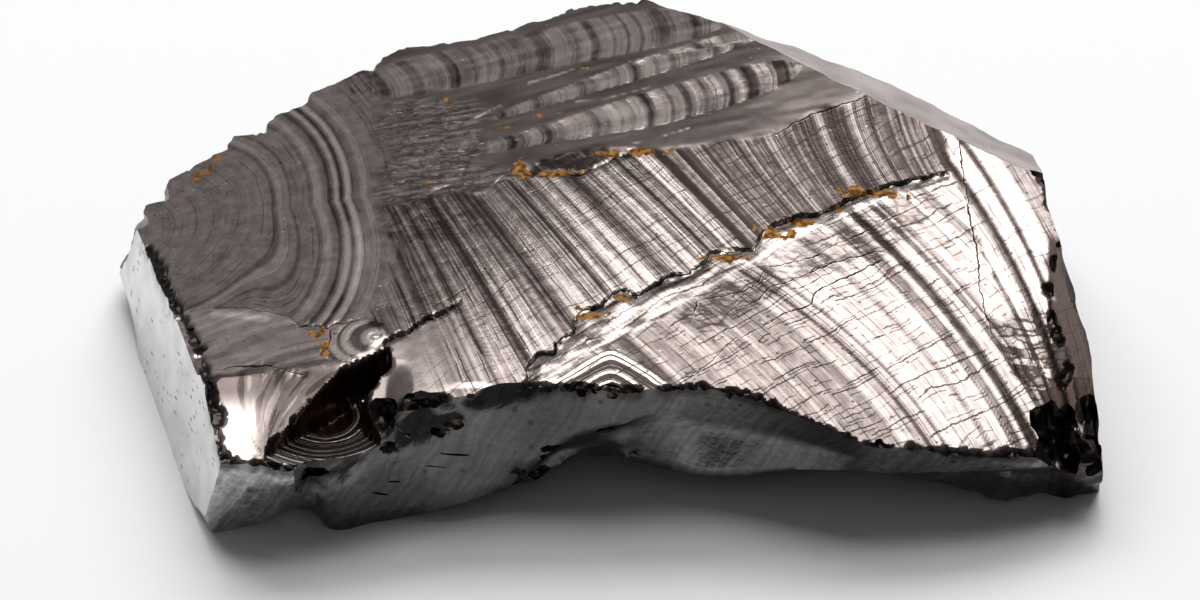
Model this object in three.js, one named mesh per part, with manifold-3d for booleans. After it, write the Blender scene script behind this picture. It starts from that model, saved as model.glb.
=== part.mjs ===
// A hand-sized piece of noble shungite: one broken slab of black, glassy mineraloid.
// It breaks like glass, so its outside is a set of bowed fracture faces, each with
// faint ripples round the point where the break began, and small scooped chips.
// Millimetres, +Z up. The stone rests on z = 0, and the origin is under its middle.
import * as THREE from "three";
import { mergeVertices } from "three/addons/utils/BufferGeometryUtils.js";
import Module from "manifold-3d";

const wasm = await Module();
wasm.setup();

// Driving dimensions. Plan points below are counted from a spot near the stone's middle.
const PLAN_MIDDLE = [0.2, 3.7]; // what becomes x = 0, y = 0
const BLANK_TOP = 17; // the uncut blank stands taller than the stone
const REACH = 46; // how far a cut runs past the stone
const TOP_GRID = 1.2; // spacing of the points that carry the top face
const FACE_GRID = 2.2; // the same, for the other fracture faces

// The top face is a shallow dome, highest at the back.
const CROWN = { height: 10.6, x: 6, across: 0.0031, rise: 0.135, bow: 0.0012, twist: 0.0047 };

// Flutes near the back of the top face: long shallow troughs between two ends.
const FLUTES = [
  { from: [-12, 16.2], to: [7, 20.6], half: 1.7, depth: 0.4 },
  { from: [-4, 14.6], to: [11.4, 18], half: 1.1, depth: 0.35 },
  { from: [-8.4, 10], to: [13, 15.4], half: 1.8, depth: 0.45 },
];

// The left end of the back rim is chipped into steps, as a saw cut: [x, y, flare], where
// flare is how far the foot stands outside the rim below that point.
const CHIPPED_RIM = [
  [-34, 5.2, 4.4], [-31.2, 6, 4], [-30.1, 7, 3], [-30, 9.1, 2.2], [-28.6, 9.3, 2],
  [-28.6, 11.4, 2], [-27, 12.1, 2.2], [-25.8, 13.1, 2.4], [-24.8, 13.4, 2.4], [-24.4, 14.7, 2.4],
  [-22.1, 14.4, 2.6], [-22.05, 15.5, 2.6], [-21.8, 16.1, 2.6], [-20, 16.6, 2.8], [-19.2, 17.7, 2.8],
  [-17.4, 18.5, 3], [-15.4, 19.4, 3], [-15, 19.1, 3], [-14.5, 20.1, 3], [-13.3, 20.9, 3],
  [-9, 21, 3], [-6, 21.5, 2.8], [-3, 22.2, 2.6], [-1.2, 23, 2.4], [2.7, 22.8, 2.2],
];

// The rest of the blank is larger than the stone, and the fracture faces cut it to size.
const UNCUT_PLAN = [
  [10, 27, 0], [24, 25, 0], [36, 14, 0], [36, -12, 0], [32, -21, 0], [-23, -21, 0], [-36, -16, 0],
  [-42, 4, 0],
];

// Fracture faces: a point on each, the way it faces, its bow in mm over 10 mm (hollow
// below zero), and where its rings start, in the face's own plane.
const FACES = [
  { at: [-28.1, -2.7, 3.9], facing: [-0.94, -0.27, 0.21], bow: -0.05, burst: [16, 9] },
  { at: [-26, -13.4, 1], facing: [-0.82, -0.42, -0.39], bow: 0.2, burst: [6, 0] },
  { at: [31.85, -8, 4], facing: [0.997, 0.03, 0.04], bow: 0.1, burst: [9, 3] },
  { at: [30.05, 1.5, 9], facing: [0.97, 0.14, 0.13], bow: -0.1, burst: [-9, 6] },
  { at: [17, 14.1, 12.66], facing: [0.349, 0.384, 0.854], bow: 0.05, burst: [-14, 8] },
  { at: [20.3, 15.8, 10.9], facing: [0.5, 0.76, 0.42], bow: -0.2, burst: [12, 10] },
  { at: [7, 20.3, 13.3], facing: [0.37, 0.62, 0.69], bow: 0.1, burst: [-8, 8] },
  { at: [8, 24.4, 4], facing: [0.24, 0.96, 0.15], bow: -0.3, burst: [-8, 8] },
  { at: [-27.4, 14, 5.2], facing: [-0.66, 0.72, -0.2], bow: -0.6, burst: [10, -4] },
  { at: [-15, 20.9, 6], facing: [-0.38, 0.9, -0.22], bow: -0.5, burst: [10, -4] },
  { at: [-3, 23.4, 6.6], facing: [-0.06, 0.97, -0.24], bow: -0.5, burst: [-9, 5] },
];
const RIPPLE = { wave: 3.4, swell: 0.07 };

// The front, station by station along X: where it is at the rim, the two points of its
// profile below that, as [y, z], and where it meets the ground.
const FRONT = [
  { x: -30, rim: -16.4, brow: [-16.3, 5], chin: [-16, 2], foot: -15.7 },
  { x: -23.4, rim: -16.7, brow: [-16.6, 5], chin: [-16.2, 1.6], foot: -15.8 },
  { x: -21, rim: -16.9, brow: [-16.8, 4.8], chin: [-16.2, 1.1], foot: -14.8 },
  { x: -18.9, rim: -17.2, brow: [-17, 5], chin: [-16.2, 3], foot: -13.5 },
  { x: -18.4, rim: -17.1, brow: [-15.4, 4.6], chin: [-15.4, 1.4], foot: -14.3 },
  { x: -17.2, rim: -17, brow: [-15.9, 3.9], chin: [-15.9, 0.6], foot: -15.6 },
  { x: -14.3, rim: -15.8, brow: [-15.4, 5.8], chin: [-15.4, 0.7], foot: -15.1 },
  { x: -12, rim: -12.6, brow: [-14.4, 6.1], chin: [-14.9, 0.5], foot: -14.5 },
  { x: -8.6, rim: -13.2, brow: [-13.4, 6.9], chin: [-14.7, 1.2], foot: -13.1 },
  { x: -6.3, rim: -12.4, brow: [-13.4, 4.6], chin: [-14, 1.6], foot: -12 },
  { x: -4.2, rim: -12, brow: [-13.4, 3.8], chin: [-13.2, 1.5], foot: -11.2 },
  { x: -1.7, rim: -12.1, brow: [-13, 5.5], chin: [-12.6, 3], foot: -9 },
  { x: 1.6, rim: -12.3, brow: [-12.7, 6.1], chin: [-12.3, 2.8], foot: -8.8 },
  { x: 4.2, rim: -12.1, brow: [-12.2, 6.5], chin: [-12.5, 2.2], foot: -9.4 },
  { x: 6.4, rim: -11.9, brow: [-11.8, 5.2], chin: [-12.9, 2], foot: -9.8 },
  { x: 9.5, rim: -12.4, brow: [-12, 4.9], chin: [-13, 2], foot: -10 },
  { x: 12.5, rim: -13.6, brow: [-12.7, 4.8], chin: [-13.2, 2.5], foot: -9.7 },
  { x: 15.2, rim: -14.7, brow: [-13.5, 4.7], chin: [-13.6, 2.9], foot: -9.6 },
  { x: 17.3, rim: -15.4, brow: [-14.2, 4.4], chin: [-13.8, 3.1], foot: -9.9 },
  { x: 19.6, rim: -15.3, brow: [-14.1, 3.4], chin: [-13.5, 2.2], foot: -10.7 },
  { x: 23.8, rim: -15.2, brow: [-14.2, 3.4], chin: [-13.2, 0.8], foot: -12 },
  { x: 26, rim: -14.9, brow: [-14.3, 3.6], chin: [-13.6, 0.5], foot: -13.2 },
  { x: 28.3, rim: -14.4, brow: [-14.3, 3.8], chin: [-13.3, 0.8], foot: -12.6 },
  { x: 30, rim: -14.6, brow: [-14.2, 2.9], chin: [-13.4, 0.6], foot: -12.8 },
  { x: 34, rim: -13, brow: [-12.4, 2], chin: [-11.8, 0.6], foot: -11.4 },
];

// A ledge crosses the top: the plate behind stands above the ramp in front of it.
const LEDGE = {
  drop: 0.55,
  wall: [
    [-4.6, -12.6], [-4, -9.4], [-2.4, -8.6], [-1.2, -6], [0.4, -5.4], [1.6, -4], [2.6, -4.5],
    [6, -2.6], [7.3, -0.8], [10, -0.5], [11.6, 1.7], [14.4, 2.5], [18.5, 5], [22.9, 6.4],
  ],
  ramp: [
    [-2.9, -12.6], [-2.2, -11], [-1, -9.9], [0.4, -9], [1.5, -8.4], [2.8, -7.5], [4.4, -6.3],
    [6.5, -4.6], [8.4, -2.9], [10.6, -1.3], [12.6, 0.1], [15, 1.7], [18.6, 3.9], [22.9, 6],
  ],
};

// The eye-shaped pocket at the front left: rings in a dish, under an outline in plan.
const POCKET = {
  outline: [
    [-20.9, -16.1], [-20.3, -15], [-19, -13.3], [-17, -10.8], [-15.5, -9.5], [-13.2, -8.2],
    [-13, -9.5], [-14, -11.2], [-14.7, -12], [-14.4, -13.2], [-13.4, -15], [-12.6, -19], [-21.5, -19],
  ],
  middle: [-17.3, -11.3],
  rings: [
    [0, 4.1], [2.2, 4.3], [2.5, 4.6], [3.9, 4.9], [4.1, 5.3], [5, 5.6], [5.2, 6], [5.9, 6.3], [6.1, 6.7],
    [8, 7.6],
  ],
};

// Small bites: the middle and the half sizes of a round scoop.
const BITES = [
  { at: [30.3, -14.1, 6.2], size: [2.5, 3.9, 3.3] },
  { at: [28.3, -11.6, 7.6], size: [1.3, 2.6, 2.4] },
  { at: [-17.9, -16.7, 4.9], size: [0.9, 1.5, 0.7] },
  { at: [-11, -14.2, 8.6], size: [2.2, 1.7, 1.6] },
  { at: [-4.2, -14.8, 2.6], size: [1.6, 1.7, 1.2] },
  { at: [0.2, -14, 4], size: [1.5, 1.6, 1.1] },
  { at: [18.3, -16.8, 6.9], size: [1.1, 2, 0.9] },
  { at: [30.7, 6.9, 11], size: [1.3, 1.6, 1.8] },
  { at: [31.3, -0.6, 9.6], size: [1.4, 2, 3.6] },
];

// Underneath, shallow flake scars run out through the sides, and leave the flat between
// them to stand on.
const UNDERSIDE = [
  { at: [5, 26, -2.4], size: [17, 13, 4.2] },
  { at: [36, 4, -2.2], size: [16, 9, 4] },
  { at: [-34, 8, -2.4], size: [14, 9, 4.2] },
  { at: [6, -14.5, -1.4], size: [15, 9, 2.8] },
];

const STONE = new THREE.MeshStandardMaterial({ color: 0x4a4543, roughness: 0.28, metalness: 0.7 });

// ------------------------------------------------------------ solids and sheets

function solidOf(geometry) {
  geometry.deleteAttribute("normal");
  geometry.deleteAttribute("uv");
  const merged = mergeVertices(geometry, 1e-5);
  return new wasm.Manifold(
    new wasm.Mesh({
      numProp: 3,
      vertProperties: new Float32Array(merged.attributes.position.array),
      triVerts: new Uint32Array(merged.index.array),
    }),
  );
}

function geometryOf(solid) {
  const mesh = solid.getMesh();
  const geometry = new THREE.BufferGeometry();
  geometry.setAttribute("position", new THREE.BufferAttribute(mesh.vertProperties, 3));
  geometry.setIndex(new THREE.BufferAttribute(mesh.triVerts, 1));
  return geometry;
}

// A closed solid through a row of loops with equal counts of points. "flatten" gives
// the two coordinates in which an end loop is filled.
function skin(loops, flatten) {
  const count = loops[0].length;
  const last = (loops.length - 1) * count;
  const faces = [];
  for (let base = 0; base < last; base += count)
    for (let i = 0; i < count; i++) {
      const [a, b] = [base + i, base + ((i + 1) % count)];
      faces.push(a, b, b + count, a, b + count, a + count);
    }
  const fill = (loop) => THREE.ShapeUtils.triangulateShape(loop.map(flatten), []);
  for (const [a, b, c] of fill(loops[0])) faces.push(c, b, a);
  for (const [a, b, c] of fill(loops.at(-1))) faces.push(last + a, last + b, last + c);
  const geometry = new THREE.BufferGeometry();
  geometry.setAttribute("position", new THREE.Float32BufferAttribute(loops.flat(2), 3));
  geometry.setIndex(faces);
  return solidOf(geometry);
}

// A thick slab whose inner side is the sheet z = relief(x, y), and which reaches up.
function slab(width, depth, grid, relief, reach = REACH) {
  const box = new THREE.BoxGeometry(
    width, depth, reach, Math.round(width / grid), Math.round(depth / grid), 1,
  );
  box.translate(0, 0, reach / 2);
  const points = box.attributes.position;
  for (let i = 0; i < points.count; i++)
    if (points.getZ(i) < 1e-4) points.setZ(i, relief(points.getX(i), points.getY(i)));
  return box;
}

// ------------------------------------------------------------ the stone's parts

function crown(x, y) {
  const { height, across, rise, bow, twist } = CROWN;
  return height - across * (x - CROWN.x) ** 2 + rise * y - bow * y * y + twist * x * y;
}

// The uncut stone: upright walls, with the chipped rim leaning out towards its foot.
function blank() {
  const level = (z) =>
    [...CHIPPED_RIM, ...UNCUT_PLAN].map(([x, y, flare]) => {
      const [dx, dy] = [x - PLAN_MIDDLE[0], y - PLAN_MIDDLE[1]];
      const lean = 1 + (flare * (1 - z / crown(x, y))) / Math.hypot(dx, dy);
      return [PLAN_MIDDLE[0] + dx * lean, PLAN_MIDDLE[1] + dy * lean, z];
    });
  const flatten = ([x, y]) => new THREE.Vector2(x, y);
  return skin([level(0).reverse(), level(BLANK_TOP).reverse()], flatten);
}

// Breaks away everything in front of one bowed and rippled sheet.
function fracture({ at, facing, bow, burst }) {
  const ripples = (x, y) => {
    const r = Math.hypot(x - burst[0], y - burst[1]);
    return (bow * -(x * x + y * y)) / 100 + RIPPLE.swell * Math.cos((2 * Math.PI * r) / RIPPLE.wave);
  };
  const box = slab(2 * REACH, 2 * REACH, FACE_GRID, ripples);
  const out = new THREE.Vector3(...facing).normalize();
  box.applyQuaternion(new THREE.Quaternion().setFromUnitVectors(new THREE.Vector3(0, 0, 1), out));
  box.translate(...at);
  return solidOf(box);
}

function top() {
  return solidOf(slab(2 * 36, 2 * 28, TOP_GRID, crown));
}

// Breaks away everything in front of the front's profiles.
function frontBreak() {
  const loops = FRONT.map(({ x, rim, brow, chin, foot }) => [
    [x, -REACH, BLANK_TOP + 1], [x, -REACH, -1], [x, foot, -1], [x, foot, 0], [x, ...chin],
    [x, ...brow], [x, rim, crown(x, rim)], [x, rim, BLANK_TOP + 1],
  ]);
  return skin(loops, ([, y, z]) => new THREE.Vector2(y, z));
}

// The ramp in front of the ledge: deepest along the wall, running out at its far edge.
function ledgeCut() {
  const loops = LEDGE.wall.map(([x, y], i) => {
    const [rx, ry] = LEDGE.ramp[i];
    return [
      [rx, ry, BLANK_TOP], [rx, ry, crown(rx, ry) + 0.02], [x, y, crown(x, y) - LEDGE.drop],
      [x, y, BLANK_TOP],
    ];
  });
  return skin(loops, ([x, y, z]) => new THREE.Vector2(y - x, z));
}

function pocketCut() {
  const { outline, middle, rings } = POCKET;
  const shape = new THREE.Shape(outline.map(([x, y]) => new THREE.Vector2(x, y)));
  const well = new THREE.ExtrudeGeometry(shape, { depth: BLANK_TOP, bevelEnabled: false });
  const profile = rings.map(([r, z]) => new THREE.Vector2(r, z));
  profile.push(new THREE.Vector2(rings.at(-1)[0], BLANK_TOP), new THREE.Vector2(0, BLANK_TOP));
  const dish = new THREE.LatheGeometry(profile, 40);
  dish.rotateX(Math.PI / 2);
  dish.translate(middle[0], middle[1], 0);
  return solidOf(dish).intersect(solidOf(well));
}

function bite({ at, size }) {
  const scoop = new THREE.IcosahedronGeometry(1, 3);
  scoop.scale(...size);
  scoop.translate(...at);
  return solidOf(scoop);
}

function flute({ from, to, half, depth }) {
  const [start, end] = [from, to].map(([x, y]) => new THREE.Vector3(x, y, crown(x, y)));
  const middle = start.clone().lerp(end, 0.5);
  const along = end.clone().sub(start);
  const scoop = new THREE.IcosahedronGeometry(1, 5);
  scoop.scale(along.length() / 2, half, depth);
  const turn = new THREE.Quaternion().setFromUnitVectors(new THREE.Vector3(1, 0, 0), along.normalize());
  scoop.applyQuaternion(turn);
  scoop.translate(middle.x, middle.y, crown(middle.x, middle.y));
  return solidOf(scoop);
}

function stone() {
  let solid = blank();
  const cuts = [
    ...FACES.map(fracture), top(), frontBreak(), ledgeCut(), pocketCut(), ...FLUTES.map(flute),
    ...BITES.map(bite), ...UNDERSIDE.map(bite),
  ];
  for (const cut of cuts) solid = solid.subtract(cut);
  const pieces = solid.decompose().sort((a, b) => b.volume() - a.volume());
  const geometry = geometryOf(pieces[0]);
  geometry.translate(-PLAN_MIDDLE[0], -PLAN_MIDDLE[1], 0);
  geometry.computeVertexNormals();
  const mesh = new THREE.Mesh(geometry, STONE);
  mesh.name = "stone";
  return mesh;
}

const model = new THREE.Group();
model.add(stone());

export default model;
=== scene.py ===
"""A slab of noble shungite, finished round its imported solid.

The stone is broken out of a blank as a real one is out of its bed: chips, bites and flake
scars first, then the bowed fracture faces and the front, and last the rippled top. Lengths
are millimetres, counted from the same spot as the solid's own plan, until trim_to_solid()
turns them into metres.
"""

import math

import bmesh
import bpy
import numpy as np
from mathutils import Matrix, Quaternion, Vector


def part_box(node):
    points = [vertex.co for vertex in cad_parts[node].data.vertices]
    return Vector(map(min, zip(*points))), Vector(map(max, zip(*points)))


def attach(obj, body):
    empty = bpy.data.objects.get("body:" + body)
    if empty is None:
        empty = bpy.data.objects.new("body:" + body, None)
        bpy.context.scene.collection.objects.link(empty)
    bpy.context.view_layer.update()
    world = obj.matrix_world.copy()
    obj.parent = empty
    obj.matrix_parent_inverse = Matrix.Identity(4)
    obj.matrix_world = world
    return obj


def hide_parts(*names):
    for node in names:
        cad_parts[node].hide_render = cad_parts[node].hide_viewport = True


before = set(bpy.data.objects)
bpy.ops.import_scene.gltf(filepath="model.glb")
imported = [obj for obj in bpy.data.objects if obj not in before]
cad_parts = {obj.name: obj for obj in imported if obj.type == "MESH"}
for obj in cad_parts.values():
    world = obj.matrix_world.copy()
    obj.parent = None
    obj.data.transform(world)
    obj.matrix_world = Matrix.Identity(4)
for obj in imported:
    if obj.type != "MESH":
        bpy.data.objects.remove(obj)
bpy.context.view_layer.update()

MM = 0.001
PLAN_MIDDLE = (0.2, 3.7)  # the spot that becomes x = 0, y = 0
BLANK_TOP = 17.0
UPRIGHT = 13.2  # the walls have points up to here, and then run straight to the blank's top
REACH = 46.0  # how far a cutter runs past the stone

# Spacing of the points that carry each kind of surface, and how far the sheets run.
TOP_STEP = (0.135, 0.19)
TOP_SPAN = ((-33, 33.5), (-18.5, 24.6))
FACE_STEP = 0.42
FACE_HALF = 30
WALL_STEP = 0.42

# The top face is a shallow dome, highest at the back.
CROWN = dict(height=10.6, x=6.0, across=0.0031, rise=0.135, bow=0.0012, twist=0.0047)

# ------------------------------------------------------------------ the blank and its faces

# The left end of the back rim is chipped into steps: x, y, and how far the foot stands out.
CHIPPED_RIM = [
    (-34, 5.2, 4.4), (-31.2, 6, 4), (-30.1, 7, 3), (-30, 9.1, 2.2), (-28.6, 9.3, 2),
    (-28.6, 11.4, 2), (-27, 12.1, 2.2), (-25.8, 13.1, 2.4), (-24.8, 13.4, 2.4),
    (-24.4, 14.7, 2.4), (-22.1, 14.4, 2.6), (-22.05, 15.5, 2.6), (-21.8, 16.1, 2.6),
    (-20, 16.6, 2.8), (-19.2, 17.7, 2.8), (-17.4, 18.5, 3), (-15.4, 19.4, 3),
    (-15, 19.1, 3), (-14.5, 20.1, 3), (-13.3, 20.9, 3), (-9, 21, 3), (-6, 21.5, 2.8),
    (-3, 22.2, 2.6), (-1.2, 23, 2.4), (2.7, 22.8, 2.2),
]
UNCUT_PLAN = [
    (10, 27, 0), (24, 25, 0), (36, 14, 0), (36, -12, 0), (32, -21, 0), (-23, -21, 0),
    (-36, -16, 0), (-42, 4, 0),
]

# Fracture faces: a point on each, the way it faces, its bow in mm over 10 mm (hollow below
# zero), and where its ripples start, in the face's own plane.
FACES = {
    "left face": ((-28.1, -2.7, 3.9), (-0.94, -0.27, 0.21), -0.05, (16, 9)),
    "left toe": ((-26, -13.4, 1), (-0.82, -0.42, -0.39), 0.2, (6, 0)),
    "right front": ((31.85, -8, 4), (0.997, 0.03, 0.04), 0.1, (9, 3)),
    "right back": ((30.05, 1.5, 9), (0.97, 0.14, 0.13), -0.1, (-9, 6)),
    "shoulder": ((17, 14.1, 12.3), (0.349, 0.384, 0.854), 0.05, (-14, 8)),
    "back right": ((20.5, 16.5, 11.1), (0.58, 0.71, 0.4), -0.1, (12, 10)),
    "back upper": ((7, 20.3, 13.3), (0.325, 0.632, 0.703), 0.1, (-8, 8)),
    "back low": ((8, 24.4, 4), (0.24, 0.96, 0.15), -0.3, (-8, 8)),
    "back left end": ((-27.4, 14, 5.2), (-0.66, 0.72, -0.2), -0.6, (10, -4)),
    "back left": ((-15, 20.9, 6), (-0.38, 0.9, -0.22), -0.5, (10, -4)),
    "back middle": ((-3, 23.4, 6.6), (-0.06, 0.97, -0.24), -0.5, (-9, 5)),
}
# The calmest of them, and how much of the common unevenness each keeps.
SMOOTH_FACES = {"left face": 0.15, "shoulder": 0.35}
RIPPLE = dict(wave=3.4, swell=0.07, fine_wave=0.9, fine_swell=0.012)

# The front, station by station along X: the rim, two points of the profile below it as
# (y, z), and the foot.
FRONT = [
    (-30, -16.4, (-16.3, 5), (-16, 2), -15.7), (-23.4, -16.7, (-16.6, 5), (-16.2, 1.6), -15.8),
    (-21, -16.9, (-16.8, 4.8), (-16.2, 1.1), -14.8), (-18.9, -17.2, (-17, 5), (-16.2, 3), -13.9),
    (-18.4, -17.1, (-16.3, 4.6), (-15.9, 2), -14.3), (-17.2, -17, (-16, 3.9), (-15.9, 0.6), -15.6),
    (-14.3, -15.8, (-15.4, 5.8), (-15.4, 0.7), -15.1), (-12, -12.6, (-14.4, 6.1), (-14.9, 0.5), -14.5),
    (-8.6, -13.2, (-13.4, 6.9), (-14.7, 1.2), -13.1), (-6.3, -12.4, (-13.4, 4.6), (-14, 1.6), -12),
    (-4.2, -12, (-13.4, 3.8), (-13.2, 1.5), -11.2), (-1.7, -12.1, (-13, 5.5), (-12.6, 3), -9),
    (1.6, -12.3, (-12.7, 6.1), (-12.3, 2.8), -8.8), (4.2, -12.1, (-12.2, 6.5), (-12.5, 2.2), -9.4),
    (6.4, -11.9, (-11.8, 5.2), (-12.9, 2), -9.8), (9.5, -12.4, (-12, 4.9), (-13, 2), -10),
    (12.5, -13.6, (-12.7, 4.8), (-13.2, 2.5), -9.7), (15.2, -14.7, (-13.5, 4.7), (-13.6, 2.9), -9.6),
    (17.3, -15.4, (-14.2, 4.4), (-13.8, 3.1), -9.9), (19.6, -15.3, (-14.1, 3.4), (-13.5, 2.2), -10.7),
    (23.8, -15.2, (-14.2, 3.4), (-13.2, 0.8), -12), (26, -14.9, (-14.3, 3.6), (-13.6, 0.5), -13.2),
    (28.3, -14.4, (-14.3, 3.8), (-13.3, 0.8), -12.6), (30, -14.6, (-14.2, 2.9), (-13.4, 0.6), -12.8),
    (34, -13, (-12.4, 2), (-11.8, 0.6), -11.4),
]

# Scoops: the middle and the half sizes of each, and how uneven it is.
TORN, SHELL = 0.25, 0.0
BITES = [
    ((29.5, -13.4, 6.8), (1.9, 3.3, 3.4), TORN), ((32.1, -11.4, 5.8), (1.5, 1.9, 3), TORN),
    ((28.5, -10.9, 8.4), (1.2, 2.2, 1.8), TORN), ((31, -15, 6), (1.6, 1.6, 1.3), TORN),
    ((-17.9, -16.7, 4.9), (0.9, 1.5, 0.7), TORN), ((-11, -13.7, 8.4), (1.6, 1.1, 1.1), TORN),
    ((-13.5, -14.7, 8.5), (1.5, 2.3, 1.5), TORN), ((-12.6, -14.3, 7.4), (0.9, 0.7, 0.6), TORN),
    ((-11.5, -14.2, 6.9), (1.1, 0.6, 0.7), TORN), ((-10.1, -14.1, 6.7), (0.8, 0.6, 0.9), TORN),
    ((-9, -13.8, 7), (1, 0.6, 0.7), TORN), ((-12.9, -14.9, 6), (0.8, 0.5, 0.5), TORN),
    ((-4.2, -14.8, 2.6), (1.6, 1.7, 1.2), TORN), ((0.2, -14, 4), (1.5, 1.6, 1.1), TORN),
    ((-2.6, -13.9, 4.2), (1.4, 0.9, 0.8), TORN), ((1.2, -13, 5.6), (1.3, 0.7, 0.5), TORN),
    ((18.3, -16.8, 6.9), (1.1, 2, 0.9), TORN), ((30.3, 7.3, 11.3), (1.9, 1.2, 1.4), TORN),
    ((33, -3.2, 12.3), (4.3, 10.5, 5.2), SHELL), ((30.4, -15, 2.7), (1.4, 1.1, 0.8), TORN),
    ((31.9, -13.8, 3.2), (0.9, 1.2, 1.1), TORN), ((28.9, -14.6, 1.2), (1.2, 0.9, 0.5), TORN),
    ((-6.2, -14.1, 0.9), (0.9, 0.7, 0.6), TORN), ((-4.9, -13.6, 1.4), (0.8, 0.8, 0.7), TORN),
    ((-3.4, -13.1, 2.2), (0.8, 0.7, 0.6), TORN), ((-1.2, -12.9, 2.9), (0.7, 0.6, 0.5), TORN),
    ((2.4, -12.9, 3.4), (0.8, 0.6, 0.5), TORN), ((-7.6, -14.3, 0.4), (0.8, 0.6, 0.5), TORN),
]
FLAKE_SCARS = [
    ((5, 26, -2.4), (17, 13, 4.2)), ((36, 4, -2.2), (16, 9, 4)),
    ((-34, 8, -2.4), (14, 9, 4.2)), ((6, -14.5, -1.4), (15, 9, 2.8)),
]

# ------------------------------------------------------------------ the top's own features

# Where one field of ripples gives way to the next, as lines in plan. The points named after
# a line shut in the ground on its far side.
FAN_BURST = (-34, 6)
FAN_FOOT = [
    (-33, -2), (-25, -2.9), (-23, -3.4), (-21, -4), (-20, -4.7), (-19, -5.6), (-17.2, -6.2),
    (-16.8, -5.8), (-15, -5.6), (-13.6, -8),
]
ABOVE_FOOT = [(0, -4), (0, 40), (-40, 40)]
SEAM = [
    (-15, 4.6), (-8, 5.2), (-5.5, 6.6), (-4.7, 7.6), (0, 8.4), (4, 8.3), (9, 8.6), (11, 8.9),
    (12.5, 9.9), (14, 10.9), (17.2, 12.3), (24, 16),
]
BEHIND_SEAM = [(24, 40), (-15, 40)]
SHEAR_EDGE = [
    (20.8, 14), (22, 11), (22.9, 8.5), (23.3, 5.4), (24.6, 2), (25.6, -1),
    (26.6, -5), (27, -8.6), (32, -12),
]
RIGHT_OF_SHEAR = [(40, -12), (40, 14)]
LEDGE = dict(
    drop=0.1,
    wall=[
        (-4.6, -12.6), (-4.3, -10.5), (-4, -9.4), (-2.7, -9.3), (-2.3, -8.3), (-1.5, -7.6),
        (-1.4, -6.3), (-0.9, -5.7), (0.4, -5.4), (1.2, -4.3), (1.8, -3.9), (2.6, -4.5),
        (4.2, -3.2), (6, -2.6), (6.8, -1.7), (7.3, -0.8), (8.5, -0.6), (10, -0.5),
        (10.6, 0.6), (11.6, 1.7), (13, 2.3), (14.4, 2.5), (16.5, 3.9), (18.5, 5), (20, 5.4),
        (22.9, 6.4),
    ],
    ramp=[
        (-2.9, -12.6), (-2.2, -11), (-1, -9.9), (0.4, -9), (1.5, -8.4), (2.8, -7.5),
        (4.4, -6.3), (6.5, -4.6), (8.4, -2.9), (10.6, -1.3), (12.6, 0.1), (15, 1.7),
        (18.6, 3.9), (22.9, 6),
    ],
)
BELOW_LEDGE = [(40, 6.4), (40, -40), (-4.6, -40)]
# Flutes: the two ends, half the width, the depth, how strongly banded, how much paler it
# is painted, how much the left end narrows, and how far the middle sags towards the front.
FLUTES = [
    dict(
        ends=((-18, 16.8), (9.5, 20.7)), half=2.3, depth=0.012, banded=0.75, paler=0.08,
        narrow=0, sag=0,
    ),
    dict(
        ends=((-7.2, 12.3), (11.5, 19)), half=1.05, depth=0.01, banded=0.8, paler=0.22,
        narrow=0.35, sag=0,
    ),
    dict(
        ends=((-9.4, 9.2), (13.8, 15.6)), half=1.85, depth=0.012, banded=1.0, paler=-0.08,
        narrow=0.5, sag=0.75,
    ),
]

# The bands of each field: where each lies, its width, and its lift towards the light.
FAN_BANDS = [
    (-26.4, 0.3, -0.4), (-25.6, 0.3, 0.4), (-24.9, 0.4, 0.5), (-23.4, 0.5, -0.4),
    (-22.2, 0.25, 0.5), (-21.15, 0.3, -1), (-20.8, 0.35, 1), (-20.1, 0.3, -0.5),
    (-19.4, 0.6, 0.4), (-18.8, 0.25, -0.5), (-18.3, 0.6, 0.5), (-17.5, 0.22, -0.6),
    (-17.05, 0.3, 1), (-16.7, 0.16, -0.7), (-16.3, 0.35, 1.3), (-15.9, 0.16, -0.5),
    (-15.2, 0.9, 0.2),
]
PLATE_BANDS = [
    (-11.3, 0.25, 1), (-10.7, 0.5, -0.7), (-8.9, 0.8, -0.7), (-7.4, 0.5, 0.3), (-5.5, 1, -1),
    (-3.9, 0.6, 1), (-2, 0.5, -0.8), (-1.4, 0.45, 1), (-0.7, 0.25, -0.6), (-0.1, 0.6, 1),
    (1.5, 0.5, 1), (2.5, 0.8, -0.8), (4.7, 1, 0.3), (6.2, 0.4, 0.8), (6.8, 0.3, -0.8),
    (8.5, 0.8, 1), (9.5, 0.7, -1), (11, 0.4, -0.6), (13.4, 0.3, -0.6), (15.3, 0.8, 0.8),
    (15.9, 0.3, -0.5), (17.4, 1.2, 0.6), (18.9, 0.8, -0.9), (19.9, 0.9, 0.6), (21, 1.1, -0.9),
    (22.4, 1.2, 0.4), (23.3, 0.2, -1), (24.2, 1.2, 0.5), (25.1, 0.2, -1), (25.8, 0.9, 0.5),
    (26.4, 0.2, 1.2), (27.7, 2, -0.8),
]
APRON_BANDS = [
    (7.3, 0.4, -0.6), (10.1, 0.3, -0.4), (12.2, 1.2, 0.3), (13.7, 0.35, -1), (15.2, 0.5, -0.9),
    (17.5, 0.3, -0.3), (19.7, 0.25, -0.7), (21.6, 0.25, -0.8), (22.2, 0.6, -0.5),
    (23.5, 0.8, -2.2), (25.3, 0.4, -1.6), (26, 0.3, -1),
]
SHEAR_BANDS = [
    (20.8, 0.6, -1), (22.8, 0.8, 0.6), (23.3, 0.25, -0.8), (24.2, 1.2, 1), (25, 0.25, -0.6),
    (25.7, 1, 1), (26.8, 0.5, -1.2), (27.6, 1, 1.2), (28.3, 0.3, -1), (29.2, 1.2, 1),
]
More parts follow.
